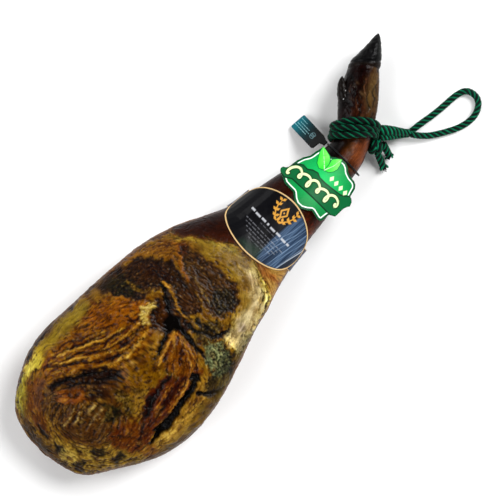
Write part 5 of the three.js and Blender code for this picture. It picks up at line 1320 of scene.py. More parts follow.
def dewclaw(side):
    n = 40
    path, rad = resample(DEW_PATH, n), resample(DEW_R, n)
    d = np.gradient(path, axis=0)
    d /= np.linalg.norm(d, axis=1)[:, None]
    nn = np.stack([-d[:, 1], d[:, 0]], axis=1)
    a = np.arange(36) / 36 * 2 * math.pi
    k = np.arange(n)[:, None] / n
    x = path[:, 0:1] + nn[:, 0:1] * rad[:, None] * np.cos(a)
    y = path[:, 1:2] + nn[:, 1:2] * rad[:, None] * np.cos(a)
    z = FOOT_Z + side * (DEW_Z + k * 2.0) + rad[:, None] * 0.9 * np.sin(a)
    R = np.stack([x, y, z], axis=-1)
    n1 = noise3(x, y, z, 3.0, 3, 401)
    R = R + grid_normals(R) * (0.35 * n1 + 0.15 * np.sin(k * 30))[..., None]
    t = np.clip(0.3 + 0.6 * n1, 0, 1)[..., None]
    col = np.array([5, 3, 3.0]) * (1 - t) + np.array([34, 22, 14.0]) * t
    first = np.array([DEW_PATH[0, 0] - 2, DEW_PATH[0, 1] - 2, FOOT_Z + side * (DEW_Z - 1)])
    return closed_loft("dewclaw", R, first, (DEW_TIP[0], DEW_TIP[1], FOOT_Z + side * (DEW_Z + 2.5)), col, np.full(R.shape[:2], 0.36))


ham = make_mesh("ham_leg_cured", pts, [quads, tris])
put_colour(ham, "tint", cols_all)
put_value(ham, "wet", wet_all)
outward(ham)
extras = (claw(1), claw(-1), dewclaw(1), dewclaw(-1))
KEYS = set()
for ob_ in (ham,) + extras:
    c_ = np.zeros(len(ob_.data.vertices) * 3, dtype=np.float32)
    ob_.data.vertices.foreach_get("co", c_)
    KEYS.update(map(bytes, np.round(c_.reshape(-1, 3) * 1e5).astype(np.int32)))


def known_points(co):
    return np.array([bytes(r) in KEYS for r in np.round(co * 1e5).astype(np.int32)])


for extra in extras:
    mod = ham.modifiers.new("join", "BOOLEAN")
    mod.operation = "UNION"
    mod.solver = "MANIFOLD"
    mod.object = extra
    bpy.context.view_layer.update()
    dg = bpy.context.evaluated_depsgraph_get()
    joined = bpy.data.meshes.new_from_object(ham.evaluated_get(dg), preserve_all_data_layers=True, depsgraph=dg)
    ham.modifiers.clear()
    old = ham.data
    ham.data = joined
    bpy.data.meshes.remove(old)
    bpy.data.objects.remove(extra)
# new points along the joins take the nearest finish
n_v = len(ham.data.vertices)
at_ = np.zeros(n_v * 4, dtype=np.float32)
ham.data.color_attributes["tint"].data.foreach_get("color", at_)
at_ = at_.reshape(-1, 4)
wt_ = np.zeros(n_v, dtype=np.float32)
ham.data.attributes["wet"].data.foreach_get("value", wt_)
co_ = np.zeros(n_v * 3, dtype=np.float32)
ham.data.vertices.foreach_get("co", co_)
co_ = co_.reshape(-1, 3)
odd = np.nonzero(~known_points(co_))[0]
good = np.nonzero(known_points(co_) & (co_[:, 0] > 0.23))[0]
for i in odd:
    j = good[np.argmin(np.sum((co_[good] - co_[i]) ** 2, axis=1))]
    at_[i], wt_[i] = at_[j], wt_[j]
ham.data.color_attributes["tint"].data.foreach_set("color", at_.ravel())
ham.data.attributes["wet"].data.foreach_set("value", wt_)
ham.data.polygons.foreach_set("use_smooth", np.ones(len(ham.data.polygons), dtype=bool))


def ham_material():
    mat, nt, bsdf = new_mat("cured_ham", Specular_IOR_Level=0.045, IOR=1.45, Coat_Weight=0.1, Coat_Roughness=0.08, Coat_IOR=1.45)
    pos = node(nt, "ShaderNodeTexCoord").outputs["Object"]
    tint, wet_ = attr(nt, "tint"), attr(nt, "wet")
    n1 = noise(nt, pos, 420.0, 4.0, 0.62)
    n2 = noise(nt, pos, 130.0, 4.0, 0.6, in_Distortion=0.8)
    n3 = noise(nt, pos, 1300.0, 2.0, 0.5)
    base = mixc(nt, tint.outputs["Color"], ramp(nt, n1.outputs["Fac"], [(0.28, 0.62), (0.5, 1.0), (0.74, 1.5)]).outputs[0], 0.35)
    base = mixc(nt, base, ramp(nt, n2.outputs["Fac"], [(0.3, (0.62, 0.5, 0.4)), (0.5, (1.0, 1.0, 1.0)), (0.72, (1.3, 1.22, 1.1))]).outputs[0], 0.3)
    nt.links.new(base, bsdf.inputs["Base Color"])
    r = math_(nt, "ADD", wet_.outputs["Fac"], math_(nt, "MULTIPLY", math_(nt, "SUBTRACT", n2.outputs["Fac"], 0.5), 0.45))
    nt.links.new(r, bsdf.inputs["Roughness"])
    bump(nt, bsdf, [(n2.outputs["Fac"], 0.4, 0.0012), (n1.outputs["Fac"], 0.35, 0.0005), (n3.outputs["Fac"], 0.25, 0.00015)])
    return mat


ham.data.materials.clear()
ham.data.materials.append(ham_material())
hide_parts("ham_leg")
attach(ham, "root")

# ---------------------------------------------------------------- rope round the ankle
rope = Rope()
w_off = []
th = np.linspace(0, 3 * 2 * math.pi, 420)
start = math.radians(-38)
phi = start + th
turn_no = th / (2 * math.pi)
step_in = turn_no - np.floor(turn_no)
# each turn lies in its own groove and crosses to the next one beside the knot
level = np.floor(turn_no) + sstep(0.80, 1.0, step_in)
level = np.clip(level, 0, 2)
wv = (level - 1) * 8.4 + 0.9 * np.sin(phi * 2.3 + 0.6)
c_, q_ = np.cos(phi), np.sin(phi)
s0 = 43.0 + 0.85 * c_ + 0.6 * q_
ds = (leg(s0 + 0.2, phi) - leg(s0 - 0.2, phi)) / 0.4
dp = leg(s0, phi + 0.02) - leg(s0, phi - 0.02)
nrm = np.cross(dp, ds)
nrm /= np.linalg.norm(nrm, axis=1)[:, None]
centre = (leg(43.0, 0.0) + leg(43.0, math.pi)) / 2
sgn = np.sign(np.sum(nrm * (leg(s0, phi) - centre), axis=1))
nrm *= sgn[:, None]
wide = 0.78 - 0.06 * c_ + 0.24 * np.abs(q_)
mid_p = leg(s0 + wv * wide / np.linalg.norm(ds, axis=1), phi) + nrm * (4.9 + 0.5 * np.sin(phi * 1.7))[:, None]
rope.lay(mid_p[::3], 4.5, 31.0, 0.0, 0.9, first=nrm[0])
# the wrap's painted crest highlights are dimmed to 0.88, as painted shade
wrap = rope.build("rope_ankle_wrap_twisted", 0.88)
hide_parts("rope_ankle_wrap")

# ---------------------------------------------------------------- printed pieces
def dist_poly(x, y, pts):
    """Signed distance to a closed outline, positive inside."""
    d = np.full(x.shape, 1e9)
    inside = np.zeros(x.shape, dtype=bool)
    n = len(pts)
    for k in range(n):
        (x0, y0), (x1, y1) = pts[k], pts[(k + 1) % n]
        ex, ey = x1 - x0, y1 - y0
        t = np.clip(((x - x0) * ex + (y - y0) * ey) / max(ex * ex + ey * ey, 1e-9), 0, 1)
        d = np.minimum(d, np.hypot(x - x0 - t * ex, y - y0 - t * ey))
        if y0 != y1:
            inside ^= ((y0 > y) != (y1 > y)) & (x < ex * (y - y0) / (y1 - y0) + x0)
    return np.where(inside, d, -d)


def dist_line(x, y, pts, width):
    ws = [width] * len(pts) if np.isscalar(width) else width
    s = np.full(x.shape, -1e9)
    for k in range(len(pts) - 1):
        (x0, y0), (x1, y1) = pts[k], pts[k + 1]
        ex, ey = x1 - x0, y1 - y0
        t = np.clip(((x - x0) * ex + (y - y0) * ey) / max(ex * ex + ey * ey, 1e-9), 0, 1)
        s = np.maximum(s, (ws[k] + (ws[k + 1] - ws[k]) * t) / 2 - np.hypot(x - x0 - t * ex, y - y0 - t * ey))
    return s


class Ink:
    """Colour over arrays of print coordinates."""

    def __init__(self, x, y, rgb):
        self.x, self.y = x, y
        self.c = np.ones(x.shape + (3,)) * np.array(rgb, dtype=float)

    def put(self, d, rgb, soft=0.3, amount=1.0):
        m = (sstep(-soft, soft, d) * amount)[..., None]
        self.c = self.c * (1 - m) + np.asarray(rgb, dtype=float) * m

    def bar(self, x, y, w, h, rgb, soft=0.3, amount=1.0, tilt=0.0):
        ct, st = math.cos(tilt), math.sin(tilt)
        px, py = (self.x - x) * ct + (self.y - y) * st, -(self.x - x) * st + (self.y - y) * ct
        self.put(np.minimum(w / 2 - np.abs(px), h / 2 - np.abs(py)), rgb, soft, amount)


def coated(name, rough, coat, grain=0.1):
    mat, nt, bsdf = new_mat(name, Roughness=rough, Specular_IOR_Level=0.09, Coat_Weight=coat, Coat_Roughness=0.12)
    pos = node(nt, "ShaderNodeTexCoord").outputs["Object"]
    tint = attr(nt, "tint")
    fib = noise(nt, pos, 900.0, 3.0, 0.6)
    blot = noise(nt, pos, 60.0, 3.0, 0.6)
    c = mixc(nt, tint.outputs["Color"], ramp(nt, fib.outputs["Fac"], [(0.3, 0.86), (0.7, 1.14)]).outputs[0], 0.8)
    nt.links.new(c, bsdf.inputs["Base Color"])
    r = math_(nt, "ADD", math_(nt, "MULTIPLY", blot.outputs["Fac"], 0.25), rough - 0.12)
    nt.links.new(r, bsdf.inputs["Roughness"])
    bump(nt, bsdf, [(blot.outputs["Fac"], 0.25, 0.0012), (fib.outputs["Fac"], grain, 0.0001)])
    return mat


# The wrap label follows the leg under it.
cad_leg = bpy.data.objects[frame["nodes"]["ham_leg"].name if hasattr(frame["nodes"]["ham_leg"], "name") else "ham_leg"] if isinstance(frame["nodes"], dict) else bpy.data.objects["ham_leg"]
cv = np.zeros(len(cad_leg.data.vertices) * 3)
cad_leg.data.vertices.foreach_get("co", cv)
leg_tree = BVHTree.FromPolygons([Vector(p) for p in (cv.reshape(-1, 3) / MM)], [tuple(p.vertices) for p in cad_leg.data.polygons])

LABEL_C = np.array([61.6, -5.9, 47.0])
LABEL_DIR = np.array([0.9984, -0.0562, 0.0]); LABEL_DIR /= np.linalg.norm(LABEL_DIR)
LABEL_RIGHT = np.array([LABEL_DIR[1], -LABEL_DIR[0], 0.0])
BAND = (-17.5, 16.5)
OVAL, OVAL_MID, ARC, LTURN, LABEL_T = 43.5, 3.0, 74.0, -2.5, 1.0


def skin_radius(centre, direction, right, along, t):
    out = np.array([0, 0, math.cos(t)]) + right * math.sin(t)
    p = centre + direction * along
    hit = leg_tree.ray_cast(Vector(p + out * 160), Vector(-out), 160)
    return p, out, (160 - hit[3]) if hit[0] is not None else 0.0


NT, NR = 420, 120
# closer columns where the print is
tt_ = np.linspace(-math.pi, math.pi, 3601)
cum_ = np.concatenate([[0], np.cumsum(np.where(np.abs(tt_[1:]) < math.radians(86), 3.0, 1.0))])
ts = np.interp(np.arange(NT) / NT * cum_[-1], cum_, tt_)
AL = np.linspace(-46, 50, 65)
RAD = np.zeros((NT, len(AL)))
for i, t in enumerate(ts):
    for k, al in enumerate(AL):
        RAD[i, k] = skin_radius(LABEL_C, LABEL_DIR, LABEL_RIGHT, al, t)[2]
RAD = (np.roll(RAD, 1, 0) + RAD * 2 + np.roll(RAD, -1, 0)) / 4
inner, outer, lx, ly, edge_d = [], [], [], [], []
for i, t in enumerate(ts):
    deg = math.degrees(t)
    off = (deg - LTURN) / ARC
    half = OVAL * math.sqrt(1 - off * off) if abs(off) < 1 else 0.0
    lo, hi = min(BAND[0], OVAL_MID - half), max(BAND[1], OVAL_MID + half)
    al = lo + (hi - lo) * (0.5 - 0.5 * np.cos(np.linspace(0, math.pi, NR)) * 0.35 - 0.5 * (1 - 0.35) * (1 - 2 * np.linspace(0, 1, NR)))
    al = np.linspace(lo, hi, NR)
    sk = np.interp(al, AL, RAD[i])
    taut = np.interp(np.linspace(BAND[0], BAND[1], 5), AL, RAD[i]).max()
    r = sk + 0.8 + (0.22 + 0.23 * abs(math.sin(t))) * np.maximum(0, taut - sk)
    # a slack wave along the paper
    w = 0.35 * np.sin(al * 0.11 + 2.4 * math.sin(t * 2)) * (0.5 + 0.5 * math.cos(t))
    r = r + np.clip(w, 0, 1)
    out = np.array([0, 0, math.cos(t)]) + LABEL_RIGHT * math.sin(t)
    base = LABEL_C + LABEL_DIR * al[:, None]
    inner.append(base + out * r[:, None])
    outer.append(base + out * (r[:, None] + LABEL_T * 0.8))
    o = outer[-1]
    lx.append((o - LABEL_C) @ LABEL_RIGHT)
    ly.append(al)
    edge_d.append(np.minimum(al - lo, hi - al))
inner, outer = np.array(inner), np.array(outer)
lx, ly, edge_d = np.array(lx), np.array(ly), np.array(edge_d)
sec = np.concatenate([inner, outer[:, ::-1]], axis=1)
deg = np.degrees(ts)[:, None] * np.ones_like(lx)
off = (deg - LTURN) / ARC
half = OVAL * np.sqrt(np.clip(1 - off * off, 0, 1))
# distance to the oval outline, in millimetres, by its gradient
e = off ** 2 + ((ly - OVAL_MID) / OVAL) ** 2
arc_mm = ARC * math.pi / 180 * 55
g = 2 * np.sqrt((off / arc_mm) ** 2 + ((ly - OVAL_MID) / OVAL ** 2) ** 2) + 1e-6
oval_d = (1 - e) / g
ink = Ink(lx, ly, (8, 10, 18))
ink.put(oval_d, (3, 3, 6), 0.3)
lines = fbm(lx * 1.0, ly * 0.035, 1.9, 3, 501)
# band: navy with pale marks
band = sstep(0.5, -0.5, oval_d)
ink.put(np.where(oval_d < 0, 1.0, -1.0), (10, 16, 44), 0.5)
for yy in (-9, -4, 2, 8):
    for j in range(26):
        a0 = -178 + j * 13.7 + (yy % 5)
        ink.put(np.minimum(np.minimum((deg - a0) * 0.96, (a0 + 7.5 + (j * 5 % 4) - deg) * 0.96), 0.85 - np.abs(ly - yy)) - 3 * (oval_d > -1), (88, 104, 140), 0.3, 0.75)
# steel-blue sheen down the right of the oval
sheen = dist_poly(lx + 1.6 * lines, ly, [(18, 43), (30, 42), (40, 36), (50, 22), (55, 2), (50, -18), (45, -28), (36, -36), (20, -38), (14, -34), (12, -6), (13, 18), (16, 32)])
sh = np.clip(0.5 + 0.75 * lines, 0, 1)[..., None]
ink.put(np.minimum(sheen, oval_d - 1.5), np.array([20, 36, 60]) * (1 - sh) + np.array([98, 126, 158]) * sh, 2.6, 0.86)
dk = dist_poly(lx + 2.5 * lines, ly, [(44, 30), (56, 18), (60, -4), (52, -22), (44, -30), (42, -12), (48, 8)])
ink.put(np.minimum(dk, oval_d - 1.5), (12, 18, 30), 2.2, 0.8)
dk = dist_poly(lx + 2.5 * lines, ly, [(24, -16), (30, -6), (32, -24), (30, -38), (22, -38)])
ink.put(np.minimum(dk, oval_d - 1.5), (14, 22, 36), 2.2, 0.6)
for x0, x1, w_ in [(16, 24, 0.5), (22, 30, 0.7), (27, 33, 0.5), (34, 38, 0.8), (38, 44, 0.5), (44, 49, 0.6)]:
    ink.put(np.minimum(dist_line(lx, ly, [(x0 - 4, -36), (x0, -8), (x1, 20), (x1 + 2, 38)], [0.3, w_, w_, 0.3]), oval_d - 1.5), (150, 176, 204), 0.5, 0.7)
ink.put(np.minimum(dist_line(lx, ly, [(42, -27), (45, -10), (49, 8), (50, 20)], [0.5, 1.2, 1.2, 0.5]), oval_d - 1.5), (196, 206, 216), 0.5, 0.85)
green_ = dist_poly(lx, ly, [(-16, -36), (4, -40), (16, -38), (12, -24), (2, -26), (-12, -30)])
ink.put(np.minimum(green_, oval_d - 1.5), (8, 34, 18), 5.0, 0.9)
# plain rules in place of the lettering
for x, w_ in [(-30, 6), (-21, 8), (-11.5, 7), (-4, 3), (4.5, 8), (14, 7), (23.5, 7.5), (31, 4)]:
    ink.bar(x, 3.6 + 0.35 * math.sin(x), w_, 2.9, (186, 188, 192), 0.45, 0.9)
for yy, x0, x1, amt in [(-1.6, -12, 16, 0.5), (-8.2, -30, 31, 0.62), (-12.2, -27, 28, 0.55), (-16.4, -22, 24, 0.6), (-20.4, -18, 20, 0.5), (-24.4, -10, 12, 0.45)]:
    x, j = x0, 0
    while x < x1:
        w_ = 3.0 + (j * 7 % 5)
        ink.bar(x + w_ / 2, yy, w_, 1.15, (150, 152, 158), 0.35, amt)
        x += w_ + 1.5
        j += 1
# gold ornament: a lozenge between two sprigs
GOLD = (196, 140, 52)
for s_ in (-1, 1):
    stem = [(s_ * 1.5, 14.5), (s_ * 6, 17.5), (s_ * 10.5, 23), (s_ * 13, 30), (s_ * 13, 37)]
    ink.put(dist_line(lx, ly, stem, [0.9, 1.6, 1.7, 1.5, 0.7]), GOLD, 0.3)
    for k in range(5):
        bx, by = stem[k] if k < 5 else stem[-1]
        for dx, dy in ((s_ * 4.6, 1.6), (-s_ * 2.6, 4.6)):
            ink.put(dist_line(lx, ly, [(bx, by), (bx + dx * 0.55, by + dy * 0.55), (bx + dx * 1.15, by + dy * 1.15)], [0.8, 3.4, 0.3]), GOLD, 0.3)
ink.put(dist_poly(lx, ly, [(0, 18.5), (6.0, 27.5), (0, 37.5), (-6.0, 27.5)]), GOLD, 0.3)
ink.put(dist_poly(lx, ly, [(0, 22.2), (3.4, 27.5), (0, 33.2), (-3.4, 27.5)]), (8, 8, 10), 0.3)
ink.put(1.1 - np.hypot(lx, ly - 27.6), GOLD, 0.25)
# rims
ink.put(0.85 - np.abs(oval_d - 0.9), (206, 172, 118), 0.25)
ink.put(np.minimum(0.8 - edge_d, -oval_d), (198, 164, 112), 0.3, 0.95)
paper = np.ones_like(outer) * np.array([196, 190, 178.0])
label_col = np.concatenate([paper, ink.c[:, ::-1]], axis=1)
label = make_mesh("wrap_label_printed", sec.reshape(-1, 3), grid_faces(NT, 2 * NR, True, True))
put_colour(label, "tint", label_col.reshape(-1, 3))
outward(label)
label.data.materials.append(coated("label_print", 0.36, 0.05))
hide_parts("wrap_label")
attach(label, "root")

# ---------------------------------------------------------------- card badge
BADGE_C = np.array([145.4, -13.3])
BADGE_X = np.array([0.0521, -0.9986]); BADGE_X /= np.linalg.norm(BADGE_X)
BADGE_Y = np.array([0.9986, 0.0521]); BADGE_Y /= np.linalg.norm(BADGE_Y)
BADGE_TOP = [(-48.4, -13.6), (-47.2, -11.2), (-44.1, -10.2), (-41.4, -6.8), (-40.6, -1.1), (-39.1, 5.3), (-35.5, 13.6), (-29.6, 21.5), (-28.6, 27.7), (-27, 32.6), (-25.6, 36.4), (-24.8, 40.2), (-21, 39.4),
             (-17.1, 38.1), (-9.5, 36.2), (-4.6, 39.2), (2.8, 42.2), (9.6, 42.4), (15.2, 39.6), (19.6, 35.1), (25.4, 32.5), (32.3, 31.5), (36.6, 29.1), (40, 23.8), (40.5, 13.9), (43.8, 12.7), (47.1, 9.4), (48.4, 4.6)]
BADGE_LOW = [(-48.4, -14.6), (-47.6, -17), (-44.6, -19.5), (-37.9, -22.9), (-32.9, -26.2), (-25.2, -27.3), (-17.2, -28), (-11.5, -33.8), (-5.3, -37.6), (3.2, -38), (10.8, -34.5), (15.4, -31),
             (27.5, -34.8), (31.6, -33.9), (33.5, -30.6), (34.5, -21.5), (37.6, -20), (42.9, -17.6), (43.5, -8.4), (44.2, -3), (46.5, 1.4), (48.4, 3.6)]
bt, bl = np.array(BADGE_TOP, dtype=float), np.array(BADGE_LOW, dtype=float)
NC, NB = 230, 150
bx = np.linspace(-48.4, 48.4, NC)
top, low = np.interp(bx, bt[:, 0], bt[:, 1]), np.interp(bx, bl[:, 0], bl[:, 1])


def soften(v, n=3):
    for _ in range(n):
        v = np.concatenate([[v[0]], (v[:-2] + 2 * v[1:-1] + v[2:]) / 4, [v[-1]]])
    return v


top, low = soften(top, 2), soften(low, 2)
v = np.linspace(0, 1, NB)
GXB = bx[:, None] * np.ones(NB)
GYB = low[:, None] + (top - low)[:, None] * v[None, :]
bz = -0.25 * GYB - GXB ** 2 / 150.0
hi = max(float((-0.25 * low - bx ** 2 / 150).max()), float((-0.25 * top - bx ** 2 / 150).max()))
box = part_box("card_badge")
lift = float(box[1][2]) / MM - 1.0 - hi
outline = [(x, y) for x, y in zip(bx, top)] + [(x, y) for x, y in zip(bx[::-1], low[::-1])]
edge = dist_poly(GXB, GYB, outline[::3])
ink = Ink(GXB, GYB, (10, 150, 66))
rad = np.hypot(GXB * 0.8, GYB - 6)
t = np.clip(1 - rad / 46, 0, 1)[..., None]
ink.c = np.array([4, 108, 50.0]) * (1 - t) + np.array([16, 196, 96.0]) * t
ink.put(2.6 - edge, (4, 74, 38), 0.3)                       # dark border
ink.put(0.75 - np.abs(edge - 3.4), (240, 250, 240), 0.25)    # white inline
# sprig of two leaves standing over the border
for leaf_p, spine in [([(-5, 18), (-12, 15.8), (-17.5, 19.2), (-21, 26), (-23.8, 33), (-24.8, 40), (-18, 38), (-12, 35.8), (-8.1, 32.5), (-5, 26)], [(-5, 18), (-13, 27), (-23.5, 38)]),
                      ([(-5, 18), (-4.6, 27), (-5.9, 34.4), (-1.5, 38.8), (3.2, 42), (5.6, 35), (6.4, 29), (4.6, 24), (0.5, 19.2)], [(-5, 18), (0.4, 29), (2.9, 40.6)])]:
    leaf = dist_poly(GXB, GYB, leaf_p)
    sh = np.clip(0.5 + (GYB - 27) / 24 + 0.25 * np.sin(GXB * 0.35), 0, 1)[..., None]
    ink.put(leaf + 1.0, (4, 104, 48), 0.5)
    ink.put(leaf, np.array([34, 214, 44.0]) * (1 - sh) + np.array([112, 255, 92.0]) * sh, 0.3)
    ink.put(dist_line(GXB, GYB, spine, [1.1, 0.7, 0.25]), (206, 255, 196), 0.25)
    for k in (0.25, 0.45, 0.65):
        cx = spine[0][0] + (spine[2][0] - spine[0][0]) * k
        cy = spine[0][1] + (spine[2][1] - spine[0][1]) * k
        for dx, dy in ((-4.4, 3.4), (3.6, 5.4)):
            ink.put(np.minimum(dist_line(GXB, GYB, [(cx, cy), (cx + dx * (1 - k * 0.4), cy + dy * (1 - k * 0.3))], [0.5, 0.15]), leaf - 0.4), (20, 168, 48), 0.2, 0.7)
# dark ribbon across, with a scrolled vine on it
rt = [(-48.4, -12.6), (-44, -9.6), (-41, -6), (-37, 1.5), (-29, 5.6), (-22, 4.6), (-16, 8.2), (-9, 9.4), (-3.6, 6.4), (6, 5.6), (16, 5.8), (30, 6.6), (36, 9.4), (40.5, 13.4), (46, 11.2), (49, 5)]
rb = [(49, 3), (44.2, -2.4), (43.2, -8), (43.4, -17), (37, -19.8), (31.7, -19.6), (15, -18.2), (-2.3, -17.1), (-17.8, -16.6), (-29, -15.8), (-37.7, -20.2), (-44.6, -19), (-48.6, -16)]
ribbon = dist_poly(GXB, GYB, rt + rb)
ink.put(ribbon + 1.3, (2, 44, 22), 0.3)
ink.put(ribbon - 0.4, (2, 92, 46), 0.35)
tt = np.linspace(-0.6, 2 * math.pi * 5.2, 300)
fx = -38 + 13.6 * tt / (2 * math.pi) * 1.06 - 4.6 * np.sin(tt)
fy = -5.4 - 2.2 * np.exp(-((fx + 38) / 7) ** 2) + 2.4 * np.exp(-((fx - 40) / 7) ** 2) - 6.6 * np.cos(tt) * (0.86 + 0.22 * np.sin(tt * 0.5 + 1.0))
pen = 1.9 + 1.5 * np.abs(np.sin(tt * 0.5 + 0.6))
wave = list(zip(fx.tolist(), fy.tolist()))
ink.put(dist_line(GXB, GYB, wave, list(pen + 2.4)), (2, 40, 20), 0.35)
ink.put(dist_line(GXB, GYB, wave, list(pen)), (222, 248, 178), 0.35)
# four plain lozenges above the ribbon
for k in range(4):
    cx, cy = 9.0 + k * 8.0, 15.6 - k * 0.9
    ink.put(dist_poly(GXB, GYB, [(cx - 2.9, cy), (cx, cy + 4.2), (cx + 2.9, cy), (cx, cy - 4.2)]), (226, 248, 188), 0.3)
bp = np.zeros((2, NC, NB, 3))
for layer, up in enumerate((0.0, 1.0)):
    bp[layer, ..., 0] = BADGE_C[0] + BADGE_X[0] * GXB + BADGE_Y[0] * GYB
    bp[layer, ..., 1] = BADGE_C[1] + BADGE_X[1] * GXB + BADGE_Y[1] * GYB
    bp[layer, ..., 2] = bz + lift + up
# a pressed border stands a little proud; the corners curl
emb = 0.0 * edge
bp[1, ..., 2] += 0.12 * sstep(-0.3, 0.3, 0.75 - np.abs(edge - 3.4)) + 0.18 * sstep(-0.4, 0.4, ribbon)
curl = 0.9 * sstep(30, 48, np.abs(GXB)) * sstep(0, 30, np.abs(GYB)) * 0.6
bp[..., 2] += curl
n_ = NC * NB
q1 = grid_faces(NC, NB, False)
quads_b = np.vstack([q1 + n_, q1[:, ::-1]])
rim = np.concatenate([np.arange(NB), (np.arange(1, NC)) * NB + NB - 1, (NC - 1) * NB + np.arange(NB - 2, -1, -1), np.arange(NC - 2, 0, -1) * NB])
r2_ = np.roll(rim, -1)
quads_b = np.vstack([quads_b, np.stack([rim, r2_, r2_ + n_, rim + n_], axis=-1)])
badge = make_mesh("card_badge_printed", bp.reshape(-1, 3), quads_b)
back = np.ones((NC, NB, 3)) * np.array([214, 210, 200.0])
put_colour(badge, "tint", np.vstack([back.reshape(-1, 3), ink.c.reshape(-1, 3)]))
outward(badge)
badge.data.materials.append(coated("badge_print", 0.42, 0.03))
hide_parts("card_badge")
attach(badge, "root")

# ---------------------------------------------------------------- seal strap and tag
STRAP_C = np.array([190.2, -14.7, 35.0])
STRAP_DIR = np.array([0.9991, -0.0417, 0.0]); STRAP_DIR /= np.linalg.norm(STRAP_DIR)
STRAP_RIGHT = np.array([STRAP_DIR[1], -STRAP_DIR[0], 0.0])
NS = 220
sec = []
for i in range(NS):
    t = i / NS * 2 * math.pi - math.pi
    r = max(skin_radius(STRAP_C, STRAP_DIR, STRAP_RIGHT, a_, t)[2] for a_ in (-1.3, 0, 1.3))
    p, out, _ = skin_radius(STRAP_C, STRAP_DIR, STRAP_RIGHT, 0.0, t)
    r += 0.5 + 3.2 * math.exp(-(((math.degrees(t) - 88) / 26) ** 2))
    ring = []
    for k in range(12):
        a_ = k / 12 * 2 * math.pi
        ring.append(p + STRAP_DIR * 0.95 * float(spow(np.cos(a_), 0.5)) + out * (r + 0.85 + 0.85 * float(spow(np.sin(a_), 0.5))))
    sec.append(ring)
sec = np.array(sec)
for _ in range(2):
    sec = (np.roll(sec, 1, 0) + 2 * sec + np.roll(sec, -1, 0)) / 4
# the outside is left plain: this offset is zero
sec[:, 2:5] += 0.0
strap = make_mesh("seal_strap_moulded", sec.reshape(-1, 3), grid_faces(NS, 12, True, True))
outward(strap)
smat, snt, sb = new_mat("strap_plastic", Roughness=0.38, Specular_IOR_Level=0.15)
spos = node(snt, "ShaderNodeTexCoord").outputs["Object"]
sn = noise(snt, spos, 500.0, 3.0, 0.6)
sc = ramp(snt, sn.outputs["Fac"], [(0.3, (0.0015, 0.0018, 0.002)), (0.7, (0.006, 0.0065, 0.007))])
snt.links.new(sc.outputs[0], sb.inputs["Base Color"])
bump(snt, sb, [(sn.outputs["Fac"], 0.25, 0.0003)])
strap.data.materials.append(smat)
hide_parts("seal_strap")
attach(strap, "root")

TAG_ROOT = np.array([184.0, 14.2, 33.0])
TAG_DIR = np.array([0.0970, 0.9953])
tilt = math.radians(32)
t_out = np.array([TAG_DIR[0] * math.cos(tilt), TAG_DIR[1] * math.cos(tilt), -math.sin(tilt)])
t_out /= np.linalg.norm(t_out)
t_acr = np.array([TAG_DIR[1], -TAG_DIR[0], 0.0]); t_acr /= np.linalg.norm(t_acr)
t_up = np.cross(t_acr, t_out)
END, HW, CR = 54.5, 11.25, 2.2
ty = np.concatenate([np.linspace(0.6, 8.6, 12), np.linspace(8.7, 11.2, 12), np.linspace(11.5, END - CR, 70), END - CR + CR * np.sin(np.linspace(0.12, math.pi / 2, 12))])
hw_l, hw_r = [], []
for y in ty:
    if y < 8.6:
        l_, r_ = (2.6 - 0.6 * y / 4.2 if y < 4.2 else 2.0 - 2.0 * (y - 4.2) / 4.4), 9.2 + 0.4 * (y - 0.6) / 8
        if y > 5:
            r_ = 9.4 + (HW - 9.4) * (y - 5) / 5.8
    elif y < 8.6 + CR:
        f_ = (y - 8.6) / CR
        l_, r_ = -(HW - CR) - CR * f_, 9.4 + (HW - 9.4) * (y - 5) / 5.8
        l_ = min(l_, -(HW - CR))
    else:
        k = max(0.0, y - (END - CR))
        c_ = CR - math.sqrt(max(0.0, CR * CR - k * k))
        l_, r_ = -HW + c_, HW - c_
    hw_l.append(l_)
    hw_r.append(min(r_, HW))
u = np.linspace(0, 1, 60)
tx = np.array(hw_l)[:, None] + (np.array(hw_r) - np.array(hw_l))[:, None] * u[None, :]
tyy = ty[:, None] * np.ones(60)
bow = 0.9 * np.sin((tyy - 8) / 46 * math.pi) * (tyy > 8)     # the plate bows a little
ink = Ink(tx, tyy, (14, 92, 100))
t = np.clip((tyy - 15 - 0.25 * tx) / 36, 0, 1)[..., None] ** 1.2
ink.c = np.array([1, 2, 3.0]) * (1 - t) + np.array([18, 96, 108.0]) * t
for k, (x, y0, y1, w_) in enumerate([(-4.6, 30, 52, 0.8), (-1.2, 27, 51, 0.7), (2.2, 30, 50, 0.7), (6.2, 40, 51, 0.7)]):
    y, j = y0, 0
    while y < y1:
        l_ = 2.2 + (j * 3 % 4) * 0.8
        ink.bar(x, y + l_ / 2, w_, l_, (150, 200, 206), 0.25, 0.85)
        y += l_ + 0.9
        j += 1
for a_ in (-0.7, 0.0, 0.7):
    ink.put(0.32 - np.abs(np.hypot((tx - 0.8 - 3.4 * math.sin(a_)) / 1.7, (tyy - 20.4 - 1.6 * math.cos(a_)) / 3.0) - 1) * 2.2, (120, 160, 168), 0.2, 0.8)
tp = np.zeros((2,) + tx.shape + (3,))
for layer, h_ in enumerate((-1.0, 1.0)):
    inset = 1.0
    tp[layer] = TAG_ROOT + tx[..., None] * t_acr + tyy[..., None] * t_out + (h_ + bow)[..., None] * t_up
nr_, nc_ = tx.shape
q1 = grid_faces(nr_, nc_, False)
n_ = nr_ * nc_
rim = np.concatenate([np.arange(nc_), np.arange(1, nr_) * nc_ + nc_ - 1, (nr_ - 1) * nc_ + np.arange(nc_ - 2, -1, -1), np.arange(nr_ - 2, 0, -1) * nc_])
r2_ = np.roll(rim, -1)
tag = make_mesh("seal_tag_moulded", tp.reshape(-1, 3), np.vstack([q1 + n_, q1[:, ::-1], np.stack([rim, r2_, r2_ + n_, rim + n_], axis=-1)]))
